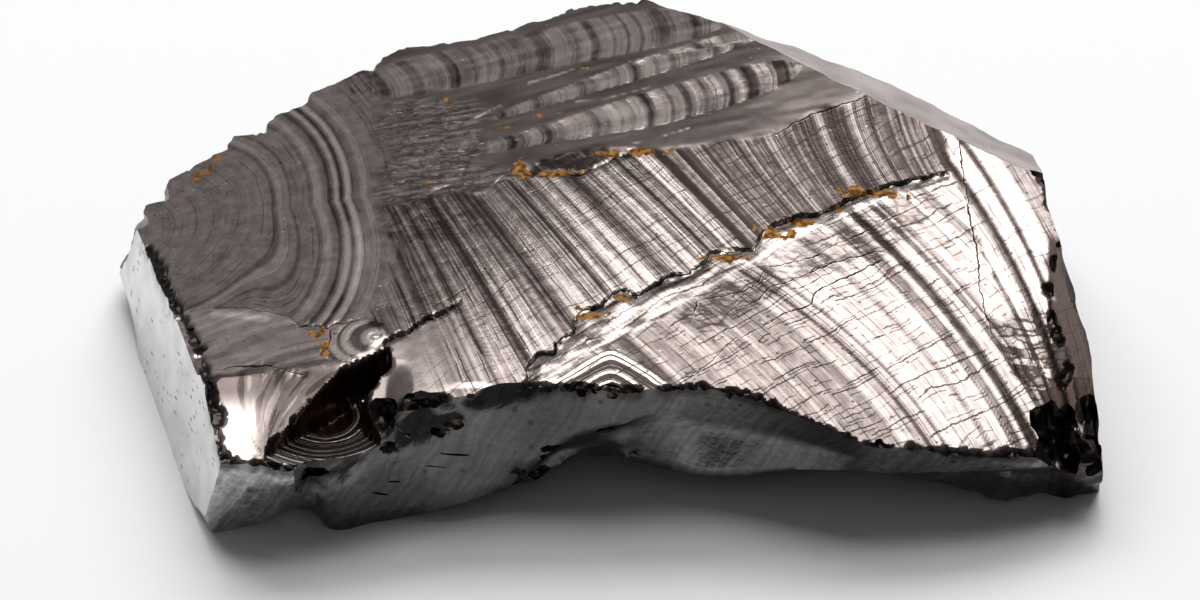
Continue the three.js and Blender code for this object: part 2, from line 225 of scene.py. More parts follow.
# How far the painted shade of the shear bands darkens towards each line: place and shade.
SHEAR_SHADE = [
    (20.8, 0.1), (23.2, 0.7), (23.4, 0.05), (24.9, 0.7), (25.1, 0), (26.6, 0.65), (27, 0),
    (28.2, 0.75), (28.4, 0.05), (31, 0.4),
]
BACK_FLUTE_SHIFT = 22
FLUTE_BANDS = [
    (-36.4, 1.2, -0.9), (-35.1, 0.9, 0.3), (-33.85, 0.9, -0.9), (-32.5, 1.6, 0.5),
    (-31.2, 0.75, -0.9), (-30.3, 0.9, 0.4), (-29.7, 0.15, -1), (-29.2, 0.8, 0.4),
    (-28.75, 0.12, -1), (-28.3, 0.7, 0.4), (-27.8, 0.12, -1), (-27.1, 0.5, 0.3),
    (-25.6, 2.2, -0.5), (-23.7, 1.2, 0.5), (-22.7, 0.12, -1), (-22.2, 0.8, 0.7),
    (-21.5, 0.5, -1), (-20.6, 0.8, 0.9), (-20.15, 0.12, -1), (-19.7, 0.8, 0.8),
    (-19.2, 0.12, -1), (-18.7, 0.6, 0.8), (-18.3, 0.12, -1), (-17.7, 0.8, 0.7),
    (-16.7, 0.7, -0.8), (-15.6, 1, 0.6), (-14.5, 0.6, -0.8), (-13.4, 1, 0.5),
    (-8, 1, 0.6), (-6.6, 0.6, -0.6), (-5, 0.8, 0.8), (-4.1, 0.5, -0.8), (-2.2, 1.4, 0.6),
    (-0.9, 0.5, -0.8), (0.5, 0.7, 1), (1.3, 0.6, 0.5), (2.1, 0.7, 1), (2.9, 0.4, -1),
    (3.8, 1, 0.9), (4.9, 0.7, 0.8), (5.6, 0.2, -0.5), (6.3, 0.6, 0.8), (7, 0.2, -0.5),
    (7.7, 0.6, 0.9), (8.5, 0.35, -0.8), (9.2, 0.5, 0.8), (10.1, 0.8, -1), (11.1, 0.7, 0.6),
    (12.2, 0.9, -1), (13.4, 0.6, 0.5),
]

# Open cracks: the route in plan, the width and the depth. The finish paints their black as shade.
CRACKS = [
    (LEDGE["wall"], 0.26, 0.16),
    ([(-13.6, -8), (-12.5, -7), (-11, -6.2), (-9.5, -5.2), (-8.8, -4.5)], 0.6, 0.6),
    (FAN_FOOT[1:9], 0.2, 0.1),
    ([(-24.5, -9), (-23, -8.9), (-21, -9.1), (-19.8, -9.7), (-18.5, -10.2)], 0.2, 0.08),
    (SEAM[7:], 0.1, 0.02),
    ([(-4.7, 6.5), (-2, 6.4), (-1, 6.3), (0.5, 7), (1.5, 7.6), (2.4, 8.3)], 0.36, 0.15),
    (
        [(5.9, -6.9), (6.6, -5), (8, -4.6), (9.5, -4), (10.5, -3), (11, -2), (14, -0.8),
         (17, 1), (18.5, 2), (21.7, 4.2)],
        0.14, 0.03,
    ),
    (
        [(8.3, -6.3), (8.8, -5.5), (10.5, -4.7), (11.2, -3.5), (13, -2.7), (15, -1.5),
         (18.7, -0.3)],
        0.12, 0.02,
    ),
    (
        [(5, -11.5), (6, -11), (7, -10), (8.8, -8), (11, -6.5), (12.5, -5.6), (13.7, -4.8),
         (14, -3.8), (17, -2), (18.5, -1)],
        0.12, 0.02,
    ),
    ([(-19, -5.5), (-17, -6.2), (-17.5, -8.5)], 0.25, 0.1),
    ([(23.8, 9.2), (24, 5), (24.3, 1.5), (24.7, -1.5), (25, -5), (25.4, -6), (26.5, -8.2)],
     0.1, 0.02),
]

# Iron deposits: the middle in plan, and half sizes along X and Y.
RUST = [
    ((2.6, 8.05), (2.1, 0.42)), ((-5.1, 7.1), (0.6, 0.8)), ((-2.8, 6.45), (2.1, 0.28)),
    ((-0.6, -6), (1, 0.5)), ((1.6, -4.6), (0.8, 0.5)), ((8, -1.25), (1.5, 0.5)),
    ((11.6, 1), (1.3, 0.6)), ((12.9, 1.8), (1.3, 0.4)), ((15.6, 3.2), (0.8, 0.4)),
    ((18, 4.4), (2.2, 0.45)), ((-17.7, -6.6), (0.9, 0.5)), ((-17.3, -7.8), (0.3, 0.8)),
    ((-26.5, 11), (0.5, 0.7)), ((-25.3, 12.3), (0.5, 0.5)), ((-25.6, 11.4), (0.3, 0.4)),
    ((-10, 14.8), (0.5, 0.2)), ((-8, 14.7), (0.4, 0.15)), ((-4, 12.2), (0.5, 0.2)),
    ((-6.2, 11.3), (0.4, 0.15)), ((-2.6, 12.3), (0.6, 0.15)), ((-11, 11.8), (0.3, 0.12)),
    ((-3.5, 15.9), (0.5, 0.15)), ((-0.8, 16.5), (0.5, 0.15)), ((-11, 6.8), (0.4, 0.15)),
]

# Where the break behind the seam is torn into strands.
HACKLE = [
    (-19, 14), (-14.9, 15.2), (-11.3, 15.1), (-8.9, 14.6), (-6.6, 13.2), (-7.6, 11.4),
    (-7.2, 9.5), (-8.2, 8.6), (-5.6, 7.3), (-5.2, 6.4), (-8.1, 4), (-19, 3), (-19, 14),
]
# A rough dark wedge behind the seam's open crack.
WEDGE = [
    (-4.6, 6.8), (-3.3, 7.8), (-1.5, 8.5), (0.8, 8.5), (0.7, 7.7), (-1, 6.2), (-4.2, 6.4),
    (-4.6, 6.8),
]
# Thin strands between the flutes, painted bright as highlights.
PAINTED_GLINTS = [
    [(-8.6, 12.3), (-7.3, 13.1), (-6.3, 13.7)], [(-4.5, 15.6), (-2.6, 16.1), (-0.5, 16.9)],
    [(-1.3, 13.2), (0.7, 13.3), (3.5, 14.1)], [(1.9, 8.7), (3.6, 9.1), (6, 10)],
    [(-10.8, 5.9), (-9.6, 6.3)], [(-6.8, 5.9), (-6.2, 6.6)],
]

HAIRPIN = dict(apex=(0.9, -9.1), slant=0.8, reach=3.6)
# A spot of painted light in the flutes: its middle and radius.
FLUTE_SPOT = dict(middle=(0.5, 11.3), radius=3.6)
# A patch of painted highlight beyond the fan's outer rings.
FAN_PATCH = (-15.7, 0.4)
# The lower left corner: where its fold lies, where its streaks fan out from, the middle of
# the arcs above the fold, and the painted highlight of the lip under the crack.
CORNER = dict(
    fold=-9.6, burst=(-20.9, -16.4), arcs=(-16, -14),
    painted_lip=[(-24.6, -3.6), (-23.4, -3.9), (-21.3, -4.7)],
)
# A knob with rings round one side of it.
KNOB = dict(
    middle=(-14.1, -7.3),
    outline=[
        (-17.3, -8.9), (-17.2, -7.2), (-16.5, -6), (-14.9, -5.7), (-13.7, -6.1), (-13.4, -7.4),
        (-14.6, -8.6), (-16, -9.4), (-17.3, -8.9),
    ],
)
POCKET = dict(
    outline=[
        (-20.9, -16.1), (-20.3, -15), (-19, -13.3), (-17, -10.8), (-15.5, -9.5),
        (-13.2, -8.2), (-13, -9.5), (-14, -11.2), (-14.7, -12), (-14.4, -13.2),
        (-13.4, -15), (-12.6, -19), (-21.5, -19),
    ],
    middle=(-17.3, -11.3),
    floor=1.9,
    steep=5,
    rings=[
        (0, 5.3), (1.7, 5.5), (1.8, 5.6), (2.4, 5.64), (2.5, 5.74), (3.1, 5.77), (3.2, 5.87),
        (3.7, 5.9), (3.8, 6), (4.3, 6.02), (4.4, 6.12), (4.9, 6.15), (5, 6.24), (5.5, 6.28),
        (8, 6.5),
    ],
)
FACET_ARC = dict(middle=(-8.2, -15.4), radius=3.6)
CLEAR_FACET = [
    (-13.1, -8.2), (-12.1, -7.3), (-10.7, -6.2), (-9.4, -6.1), (-8.9, -6.9), (-6.3, -10.3),
    (-5.2, -11.9), (-7.7, -12.8), (-9.4, -13.1), (-12.3, -12.8), (-14.4, -12.8), (-13.5, -10),
    (-13.1, -8.2),
]
LEFT_RIM = [
    (-31, 7), (-30.2, 5), (-29, 3.2), (-27.8, -0.2), (-27, -2.5), (-26, -5), (-25.1, -8),
    (-24.8, -9.2), (-24.3, -12), (-23.8, -15.2), (-23.7, -17),
]
RIGHT_RIM = [
    (28.2, 8.5), (29.1, 7.2), (29.4, 5.5), (29.7, 4), (30, 2.4), (30, 1.6), (29.6, 0.2),
    (29.3, -1.9), (29.3, -4.2), (29.7, -5.9), (30.2, -7.7), (29.7, -9.6),
]
# The rims but for the front's: the path of each, how much less it crumbles, and its chips.
RIMS = [
    (LEFT_RIM, -0.14, 13), (RIGHT_RIM, 0.2, 5), ([(x, y) for x, y, _ in CHIPPED_RIM], 0.25, 12),
]
FRONT_MARGIN = 0.05
FRONT_CHIP_STEP = 1.15
# The brown lump that hangs over the right end's hollow.
NODULE = [
    (28.3, -9.9), (29.2, -9.3), (30.4, -8.4), (32.6, -8.2), (32.6, -11.4), (31.2, -11.8),
    (30.2, -11.4), (29.3, -12.2), (28.6, -11), (28.3, -9.9),
]
# Cracked, duller strips in front of the ramp.
STRIPS = [
    (5.2, -6.4), (8.6, -3.2), (11, -1.4), (15, 1.3), (18.6, 3.5), (21.7, 4.6), (21.9, 3.4),
    (18.9, -0.4), (15, -1.9), (13, -3.1), (11.2, -4), (10.5, -5), (8.6, -6.6), (6.8, -7.4),
    (5.2, -6.4),
]
# A patch where hair cracks cross: its middle and half sizes.
CROSSED = ((-10.8, 3.2), (3.2, 2.4))
# Where the top is shattered into small blocks, beside the right end's hollow.
BRECCIA = [
    (25.3, -5.4), (27.6, -3.7), (28.7, -4.2), (29.5, -5.9), (30.3, -5.8), (30.2, -7.8),
    (29.4, -9.3), (28, -10.6), (26.8, -9.1), (25.3, -5.4),
]
# The right end: where it starts along X on the top and on the sides, how far back its
# hollow, painted black as shade, and its finish go, and the line behind which it is browner.
# Its front and back parts are marked for the finishes by a painted sheen of their own.
RIGHT_END = dict(top=29.3, side=29.2, hollow_back=1.6, back=6, brown=-8.5)
END_FRONT, END_BACK = -0.5, -0.25
# The thin fin in the right end's hollow, painted bright as a highlight: its root, and the way to its
# tip.
FIN = dict(root=(30.6, -11.2, 4.6), run=(0.7, -2.1, 1.2))
# Thin flakes that sprang out of the left shell: the middle, half the length and the dip.
SLITS = [
    ((-13.9, -15.2, 2.6), 1.1, 23), ((-12.6, -15, 3.2), 1.1, 16), ((-9.9, -14.4, 3.9), 1.6, 11),
    ((-8.5, -14, 4.6), 2.1, 10), ((-2.2, -13, 3.5), 1.1, 20), ((0.8, -12.7, 5.4), 1, 8),
]

# ------------------------------------------------------------------ finishes and camera

# The bands' painted light and shade goes up in steps: at which lifts, how sharply and by how much.
BAND_STEPS = dict(at=(-0.75, -0.3, 0.3, 0.75), blur=0.06, rise=0.42)
# How strongly each field shows the painted light and shade of its finest ripples: fan, plate,
# apron, shear and flutes.
FINE_RIPPLES = (0.06, 0.34, 0.12, 0.2, 0.14)
# Two sets of hair cracks: their spacing, width, strength and the size of the gaps in them.
HAIR_CRACKS = ((1.15, 0.06, 1.0, 0.3), (0.6, 0.05, 0.55, 0.55))
CELL_SHIFT = 17.3

# The camera: its angle above the floor, how far off it is and the height that it looks at,
# in mm, and the scale that fills a frame of this width.
VIEW = dict(elevation=40, away=420, height=6, per_mm=15.4, width=1200)


# ------------------------------------------------------------------ numbers over a surface

def soft(value, blur):
    """0 below zero, 1 above it, with a smooth change over +-blur."""
    t = np.clip(value / (2 * blur) + 0.5, 0, 1)
    return t * t * (3 - 2 * t)


def lattice(i, j, k, seed):
    """A repeatable number from 0 to 1 for each whole-numbered point."""
    mask = np.int64(0xFFFFFFFF)
    h = (i * 374761393 + j * 668265263 + k * 362437 + seed * 1274126177) & mask
    h = ((h ^ (h >> 13)) * 1274126177) & mask
    return (h ^ (h >> 16)) / float(mask)


def lumps(x, y, z=0.0, size=1.0, seed=0):
    """Smooth noise from -1 to 1, with lumps about size mm across."""
    x, y, z = np.broadcast_arrays(x / size, y / size, np.asarray(z) / size)
    cell = [np.floor(c).astype(np.int64) for c in (x, y, z)]
    fade = [(c - f) ** 2 * (3 - 2 * (c - f)) for c, f in zip((x, y, z), cell)]
    total = 0
    for corner in np.ndindex(2, 2, 2):
        weight = 1
        for f, side in zip(fade, corner):
            weight = weight * (f if side else 1 - f)
        total = total + weight * lattice(*(c + s for c, s in zip(cell, corner)), seed)
    return 2 * total - 1


def chipped(x, y, z=0.0, size=1.0, seed=0):
    """Faceted noise from 0 to 1: distance to the nearest of scattered points."""
    x, y, z = np.broadcast_arrays(x / size, y / size, np.asarray(z) / size)
    home = [np.floor(c).astype(np.int64) for c in (x, y, z)]
    near = np.full(x.shape, 9.0)
    for step in np.ndindex(3, 3, 3):
        cell = [h + s - 1 for h, s in zip(home, step)]
        gap = 0
        for axis, c in enumerate((x, y, z)):
            gap = gap + (cell[axis] + lattice(*cell, seed + 7 * axis) - c) ** 2
        near = np.minimum(near, gap)
    return np.clip(np.sqrt(near), 0, 1)


def distance(path, x, y):
    """How far each point is from a path in plan."""
    best = np.full(np.shape(x), 1e9)
    for (ax, ay), (bx, by) in zip(path, path[1:]):
        dx, dy = bx - ax, by - ay
        t = np.clip(((x - ax) * dx + (y - ay) * dy) / (dx * dx + dy * dy), 0, 1)
        best = np.minimum(best, np.hypot(x - ax - t * dx, y - ay - t * dy))
    return best


def trace(path, x, y):
    """Distance from a path, the side of it (1 is left of its course), and mm to its nearer end."""
    best, side, along = np.full(np.shape(x), 1e9), np.ones(np.shape(x)), np.zeros(np.shape(x))
    start = 0
    for (ax, ay), (bx, by) in zip(path, path[1:]):
        dx, dy = bx - ax, by - ay
        length = math.hypot(dx, dy)
        t = np.clip(((x - ax) * dx + (y - ay) * dy) / length ** 2, 0, 1)
        gap = np.hypot(x - ax - t * dx, y - ay - t * dy)
        nearer = gap < best
        best = np.where(nearer, gap, best)
        side = np.where(nearer, np.where(dx * (y - ay) - dy * (x - ax) < 0, -1, 1), side)
        along = np.where(nearer, start + t * length, along)
        start += length
    return best, side, np.minimum(along, start - along)


def within(outline, x, y):
    """True where a point in plan is inside a closed outline."""
    inside = np.zeros(np.shape(x), bool)
    for (ax, ay), (bx, by) in zip(outline, outline[1:] + outline[:1]):
        if ay != by:
            crosses = (ay > y) != (by > y)
            inside ^= crosses & (x < (bx - ax) * (y - ay) / (by - ay) + ax)
    return inside


def beyond(path, closing, x, y):
    """Distance from a path, positive in the area that the closing points shut in."""
    return distance(path, x, y) * np.where(within(path + closing, x, y), 1, -1)


def crown(x, y):
    """Height of the plain dome."""
    c = CROWN
    return (
        c["height"] - c["across"] * (x - c["x"]) ** 2 + c["rise"] * y - c["bow"] * y * y
        + c["twist"] * x * y
    )


# ------------------------------------------------------------------ fields of ripples

def fan_ring(x, y):
    """Rings round a burst off the left end, flatter the further out."""
    burst_x, burst_y = FAN_BURST
    up = y - burst_y
    drift = 0.33 * np.minimum(up, 0) * soft(x + 21.2, 2.2)
    squash = 1 + 0.4 * np.maximum(0, (-21 - x) / 5)
    return burst_x + np.sqrt((x + drift - burst_x) ** 2 + squash * up * up)


def settle(x, keep, moved):
    """The ring number s that makes s = moved(s), reached from x in damped steps."""
    s = x
    for _ in range(20):
        s = keep * s + (1 - keep) * moved(s)
    return s


def plate_ring(x, y):
    """Straight bands, steep at the left and slanting at the right, bent upright at the back."""
    def moved(s):
        slant = np.interp(s, [-13, -4, 5, 20], [-0.32, -0.58, -0.75, -0.7])
        bend = np.interp(s, [8, 18], [0, 0.0286])
        return x - slant * y - bend * np.maximum(y - 2, 0) ** 2

    return settle(x, 0.3, moved)


def apron_ring(x, y):
    """Wide arcs round a burst far below the front."""
    up = y + 6

    def moved(s):
        slant = np.interp(s, [5, 10, 14, 23], [-0.95, -1.05, -1.1, -0.67])
        bend = np.interp(s, [5, 14, 23], [0.01, 0.03, 0.014])
        return x - slant * up + bend * up * up

    return settle(x, 0.5, moved)


def shear_ring(x, y):
    """Leaning bands, steeper towards the right rim."""
    def moved(s):
        slant = np.interp(s, [19, 28.5], [-0.8, -0.36])
        return x - slant * y + 0.012 * y * y

    return settle(x, 0.5, moved)


def flute_place(flute, x, y):
    """Where a point is in a flute: -1 to 1 along it, and -1 to 1 across it."""
    (ax, ay), (bx, by) = flute["ends"]
    length = math.hypot(bx - ax, by - ay)
    ux, uy = (bx - ax) / length, (by - ay) / length
    dx, dy = x - (ax + bx) / 2, y - (ay + by) / 2
    along = (dx * ux + dy * uy) / (length / 2)
    half = flute["half"] * (1 - flute["narrow"] * soft(-0.25 - along, 0.45))
    sag = flute["sag"] * (1 - np.minimum(along ** 2, 1))
    return along, (dy * ux - dx * uy + sag) / half


def flute_ring(x, y):
    """Cross bands that bulge to the right. The back flute reads its own run of the bands."""
    bulge = 0
    for flute in FLUTES:
        _, across = flute_place(flute, x, y)
        bulge = np.maximum(bulge, 0.25 * flute["half"] * (1 - across ** 2))
    _, across_back = flute_place(FLUTES[0], x, y)
    s = x + 0.2 * (y - 13) + 0.2 * soft(-9 - x, 3) * (y - 18) - bulge
    return s - BACK_FLUTE_SHIFT * (np.abs(across_back) < 1.2)


def banding(bands, low, high, tilt, fine, seed):
    """Lift and height along one field's rings, worked out at even steps.

    The height is the sum of the slopes, less their trend over 4 mm, so that it stays low.
    """
    step, reach = 0.02, 100
    s = np.arange(low, high, step)
    lift = np.zeros(s.shape)
    for centre, width, rise in bands:
        lift += rise * soft(width / 2 - abs(s - centre), 0.1)
    lift += fine * (lumps(s, 0, size=0.55, seed=seed) + 0.7 * lumps(s, 9, size=0.27, seed=seed))
    slope, window = tilt * lift, 2 * reach + 1
    trend = np.convolve(np.pad(slope, reach, "edge"), np.ones(window) / window, "valid")
    return s, lift, np.cumsum(slope - trend) * step


# Each field's rings and bands: where they start and end, their steepest slope, how strong
# the finest are, and a seed.
FIELDS = {
    "fan": (fan_ring, banding(FAN_BANDS, -40, 0, 0.05, 0.3, 1)),
    "plate": (plate_ring, banding(PLATE_BANDS, -30, 45, 0.055, 0.5, 2)),
    "apron": (apron_ring, banding(APRON_BANDS, -30, 60, 0.06, 0.42, 3)),
    "shear": (shear_ring, banding(SHEAR_BANDS, 0, 60, 0.06, 0.2, 4)),
    "flutes": (flute_ring, banding(FLUTE_BANDS, -40, 40, 0.08, 0.3, 5)),
}


def zones(x, y):
    """How much each field of ripples holds at each point."""
    blur = 0.12
    wobble = 0.25 * lumps(x, y, size=0.9, seed=11)
    above_foot = soft(beyond(FAN_FOOT, ABOVE_FOOT, x, y) + wobble, blur)
    up = y - FAN_BURST[1]
    upper = soft(up, 2)
    ragged = wobble * (1.5 + 2 * upper)
    outermost = 0.14 * np.maximum(up, 0) - 14.3
    fan = above_foot * soft(outermost - fan_ring(x, y) + ragged, 0.6 + 0.4 * upper)
    behind = soft(beyond(SEAM, BEHIND_SEAM, x, y) + wobble, 0.16) * (1 - fan)
    shear = soft(beyond(SHEAR_EDGE, RIGHT_OF_SHEAR, x, y) + wobble, blur)
    shear *= 1 - behind
    below = soft(beyond(LEDGE["wall"], BELOW_LEDGE, x, y), 0.05)
    apron = below * (1 - shear)
    hackle = behind * soft(beyond(HACKLE, [], x, y) + 1.5 * wobble, 0.6)
    flutes = behind * (1 - hackle) * (1 - shear)
    plate = np.clip(1 - fan - behind - shear - apron, 0, 1)
    lower_left = np.clip(1 - above_foot, 0, 1) * soft(-12.5 - x, 1) * (1 - apron)
    plate = plate * (1 - lower_left)
    return dict(
        fan=fan, plate=plate, apron=apron, shear=np.clip(shear, 0, 1), flutes=flutes,
        hackle=hackle, lower_left=lower_left,
    )


def front_rim(x):
    """Where the front's rim lies in plan."""
    stations = np.array([(s[0], s[1]) for s in FRONT], float)
    return np.interp(x, stations[:, 0], stations[:, 1])


def rim_gap(x, y):
    """How far a point of the top is from the broken rims."""
    gap = np.abs(y - front_rim(x)) + FRONT_MARGIN
    for rim, margin, _ in RIMS:
        gap = np.minimum(gap, distance(rim, x, y) + margin)
    return gap


def flute_hollow(x, y):
    """The long shallow flutes: depth, how strongly banded, how pale they are painted, and 1 along the
    middle.
    """
    hollow, glow, pale, inside = (np.zeros(np.shape(x)) for _ in range(4))
    for flute in FLUTES:
        along, across = flute_place(flute, x, y)
        bowl = np.clip(1 - 0.9 * along ** 4 - across ** 2, 0, 1)
        edge = soft(bowl - 0.15, 0.08)
        hollow += flute["depth"] * bowl
        glow = np.maximum(glow, flute["banded"] * edge)
        pale += flute["paler"] * edge
        inside = np.maximum(inside, bowl)
    return hollow, glow, pale, inside


def open_cracks(x, y):
    """How deep the cracks cut, and what draws them: signed distance, half width, strength."""
    wander_x = x + 0.2 * lumps(x, y, size=1.2, seed=31) + 0.09 * lumps(x, y, size=0.45, seed=34)
    wander_y = y + 0.2 * lumps(x, y, 5, 1.2, 31) + 0.09 * lumps(x, y, 5, 0.45, 34)
    jitter = 0.5 + 0.5 * lumps(x, y, 9, 2.2, 32)
    nearest = np.full(np.shape(x), 9.0)
    signed, half, strength, depth = (np.zeros(np.shape(x)) for _ in range(4))
    for path, width, deep in CRACKS:
        gap, side, to_end = trace(path, wander_x, wander_y)
        wide = width * (0.12 + 0.95 * jitter ** 2) * soft(to_end - 0.6, 0.8) / 2
        nearer = gap - wide < nearest
        nearest = np.where(nearer, gap - wide, nearest)
        signed = np.where(nearer, gap * side, signed)
        half = np.where(nearer, wide, half)
        strength = np.where(nearer, soft(to_end - 0.1, 0.1) * soft(0.6 - gap, 0.2), strength)
        depth = np.maximum(depth, deep * soft(wide - gap, 0.1))
    return depth, [signed, half, strength]


# ------------------------------------------------------------------ the top face

class Top:
    """The top face at points in plan: its height, and all that its finish reads.

    lift is how far a ripple leans to the light and veil is light and shade painted over its
    ground, both about -1 to 1; the finish turns both into painted light and shade. A share or
    a mask runs from 0 to 1. Each method adds one feature, in turn.
    """

    def __init__(self, x, y):
        self.x, self.y = x, y
        self.share = zones(x, y)
        self.rings = {name: ring(x, y) for name, (ring, _) in FIELDS.items()}
        self.height = crown(x, y)
        self.lift, self.veil = (np.zeros(np.shape(x)) for _ in range(2))
        self.drawn = lumps(x / 6 + y / 20, y - 0.22 * x, size=0.4, seed=24)
        self.lay_bands()
        self.shade_flutes()
        self.shade_plates()
        self.shade_fan()
        self.tear_hackle()
        self.drop_ledge()
        self.fold_hairpin()
        self.turn_corner()
        self.raise_knob()
        self.smooth_facet()
        self.cut_cracks()
        self.sink_pocket()
        self.crumble_rims()
        self.roughen_wedge()
        self.shatter_patches()
        self.tear_right_end()
        self.settle_rust()

    def lay_bands(self):
        """The bands of every field, the flutes' hollows and the fall behind the seam."""
        hollow, self.glow, self.pale, inside = flute_hollow(self.x, self.y)
        for name, (_, (s, band_lift, band_height)) in FIELDS.items():
            in_flute = name == "flutes"
            seen = self.share[name] * (self.glow if in_flute else 1)
            shaped = self.share[name] * (inside if in_flute else 1)
            self.lift += seen * np.interp(self.rings[name], s, band_lift)
            self.height += shaped * np.interp(self.rings[name], s, band_height)
        fall = np.maximum(beyond(SEAM, BEHIND_SEAM, self.x, self.y), 0)
        self.height -= hollow + 0.035 * fall * soft(self.x + 10.5, 4.5)

    def shade_flutes(self):
        """Painted bright where banded and dull between, with drawn-out streaks and one painted pale
        spot.
        """
        flutes, (spot_x, spot_y) = self.share["flutes"], FLUTE_SPOT["middle"]
        self.lift += flutes * 0.12 * self.drawn
        ground = self.pale + 0.25 * self.glow - 0.35 + 0.2 * self.drawn
        self.veil += flutes * ground - 0.27 * self.share["hackle"]
        off = np.hypot(self.x - spot_x, 2 * (self.y - spot_y)) / FLUTE_SPOT["radius"]
        self.veil += flutes * self.glow * 0.45 * soft(1 - off, 0.35)
        self.calm = flutes * (1 - self.glow) * 0.8

    def shade_plates(self):
        """The plate painted darker to the back right, and the apron and the shear painted lighter or
        darker by their own scales.
        """
        plate, shear = self.share["plate"], self.share["shear"]
        far = soft(self.x - 7 + 0.6 * self.y, 5)
        self.veil -= plate * (0.26 + 0.42 * far)
        self.lift *= 1 - plate * (0.24 + 0.28 * far) - 0.25 * shear
        self.veil -= self.share["apron"] * (0.4 - 0.46 * soft(self.rings["apron"] - 14, 2.5))
        self.veil -= shear * 0.68 * np.interp(self.rings["shear"], *np.array(SHEAR_SHADE).T)

    def shade_fan(self):
        """The fan's painted light and shade: faint on the inner rings, stronger on the outer ones, and
        a painted highlight in a patch beyond them.
        """
        fan, ring, (patch_x, patch_y) = self.share["fan"], self.rings["fan"], FAN_PATCH
        inner = fan * soft(-20.5 - ring, 1.5)
        self.lift *= 1 - np.maximum(0.6 * inner, 0.25 * fan)
        outer = fan * soft(1.6 - np.abs(ring + 16.9), 0.6)
        self.veil += outer * (-0.1 + 0.35 * np.clip(1.5 * self.lift, -1, 1)) - 0.1 * fan
        off = np.hypot(self.x - patch_x, (self.y - patch_y) / 3.5)
        self.veil += 0.5 * fan * soft(1 - off, 0.4)

    def tear_hackle(self):
        """Torn streaks that run along X, and painted highlights on thin strands between the flutes."""
        x, y, hackle = self.x, self.y, self.share["hackle"]
        streaks = lumps(x / 3, y, size=0.5, seed=21) + 0.6 * lumps(x / 2.2, y, 3, 0.25, 22)
        self.height += hackle * 0.006 * streaks
        coarse = 0.8 * lumps(x / 5, y, size=0.24, seed=23) + 0.5 * lumps(x / 1.6, y, 4, 0.2, 24)
        self.lift += hackle * (0.3 * coarse + 0.25 * lumps(x, y / 3, size=1.1, seed=20))
        strand = 0.05 + 0.1 * lumps(x, y, size=0.7, seed=55)
        for path in PAINTED_GLINTS:
            self.veil += 1.3 * soft(strand - distance(path, x, y), 0.08)

    def drop_ledge(self):
        """The ledge, and the ramp of drawn-out striae in front of its wall, painted paler as light."""
        x, y = self.x, self.y
        on_ramp = within(LEDGE["wall"] + LEDGE["ramp"][::-1], x, y)
        wall_gap, ramp_gap = distance(LEDGE["wall"], x, y), distance(LEDGE["ramp"], x, y)
        down = np.where(on_ramp, ramp_gap / (wall_gap + ramp_gap + 1e-6), 0)
        self.ramp = soft(down - 0.06, 0.06)
        across = 0.82 * y - 0.57 * x
        striae = lumps((x + y) / 7, across, size=0.3, seed=25)
        striae += 0.7 * lumps(x / 6, across, 7, 0.16, 26)
        below_wall = np.where(on_ramp, soft(0.5 - wall_gap, 0.5), 0)
        self.height -= LEDGE["drop"] * below_wall + 0.012 * striae * self.ramp
        # The striae's light and shade and the ramp's paleness are painted.
        self.lift = self.lift * (1 - self.ramp) + 2 * striae * self.ramp
        self.veil += 0.4 * self.ramp

    def fold_hairpin(self):
        """The hairpin bands where the ramp runs out at the front."""
        apex_x, apex_y = HAIRPIN["apex"]
        arm = HAIRPIN["slant"] * (np.hypot(self.x - apex_x, 0.5) - 0.5)
        self.folds = apex_y - self.y - arm + 0.05 * self.drawn
        left_of_it = soft(apex_x + HAIRPIN["reach"] - self.x, 0.5)
        self.hairpin = self.share["apron"] * soft(self.folds, 0.1) * left_of_it * (1 - self.ramp)
        self.lift = self.lift * (1 - self.hairpin)

    def turn_corner(self):
        """The lower left: an arced facet, and below the fold a fanned one with a painted white flash,
        in painted light and shade.
        """
        x, y, corner = self.x, self.y, self.share["lower_left"]
        (burst_x, burst_y), fold_y = CORNER["burst"], CORNER["fold"]
        fold = soft(fold_y - y, 0.4)
        painted_flash = soft(-21.8 - x + 0.12 * (y + 16), 0.9) * soft(-12.4 - y, 1.4)
        self.height += corner * (0.14 * (y - fold_y) * fold + 0.02 * lumps(x, y, size=2.6, seed=27))
        self.height += corner * fold * 0.02 * np.minimum(x + 20, 0) ** 2
        reach = np.hypot(x - burst_x, y - burst_y)
        turn = np.arctan2(y - burst_y, x - burst_x) + 0.05 * reach
        fanned = lumps(turn * 3, 0.07 * reach, size=0.24, seed=28)
        fanned += 0.5 * lumps(turn * 3, 0.07 * reach, size=0.1, seed=28)
        upper = np.hypot(x - CORNER["arcs"][0], 1.5 * (y - CORNER["arcs"][1]))
        arcs = 0.8 * lumps(upper, 0, size=0.4, seed=29) + 0.5 * self.drawn
        self.lift += corner * (fold * fanned * 0.65 + (1 - fold) * arcs)
        under_crack = soft(0.3 - distance(CORNER["painted_lip"], x, y), 0.12)
        self.veil += corner * (0.25 + fold * (1.2 * painted_flash - 0.8) + 0.9 * under_crack)
        self.calm = np.maximum(self.calm, corner * fold * 0.8)

    def raise_knob(self):
        """The ringed knob by the pocket, with painted light and shade on its rings and a painted
        highlight at its middle.
        """
        (knob_x, knob_y), x, y = KNOB["middle"], self.x, self.y
        knob = soft(beyond(KNOB["outline"], [], x, y), 0.15)
        out = np.hypot(x - knob_x, 1.2 * (y - knob_y))
        self.height += 0.02 * knob * (3 - out)
        ringed = np.clip(2.6 * lumps(out, 0, size=0.3, seed=38), -1.2, 1.2)
        self.lift = self.lift * (1 - knob) + knob * ringed
        self.veil += knob * (1.2 * soft(0.6 - out, 0.25) - 0.15)

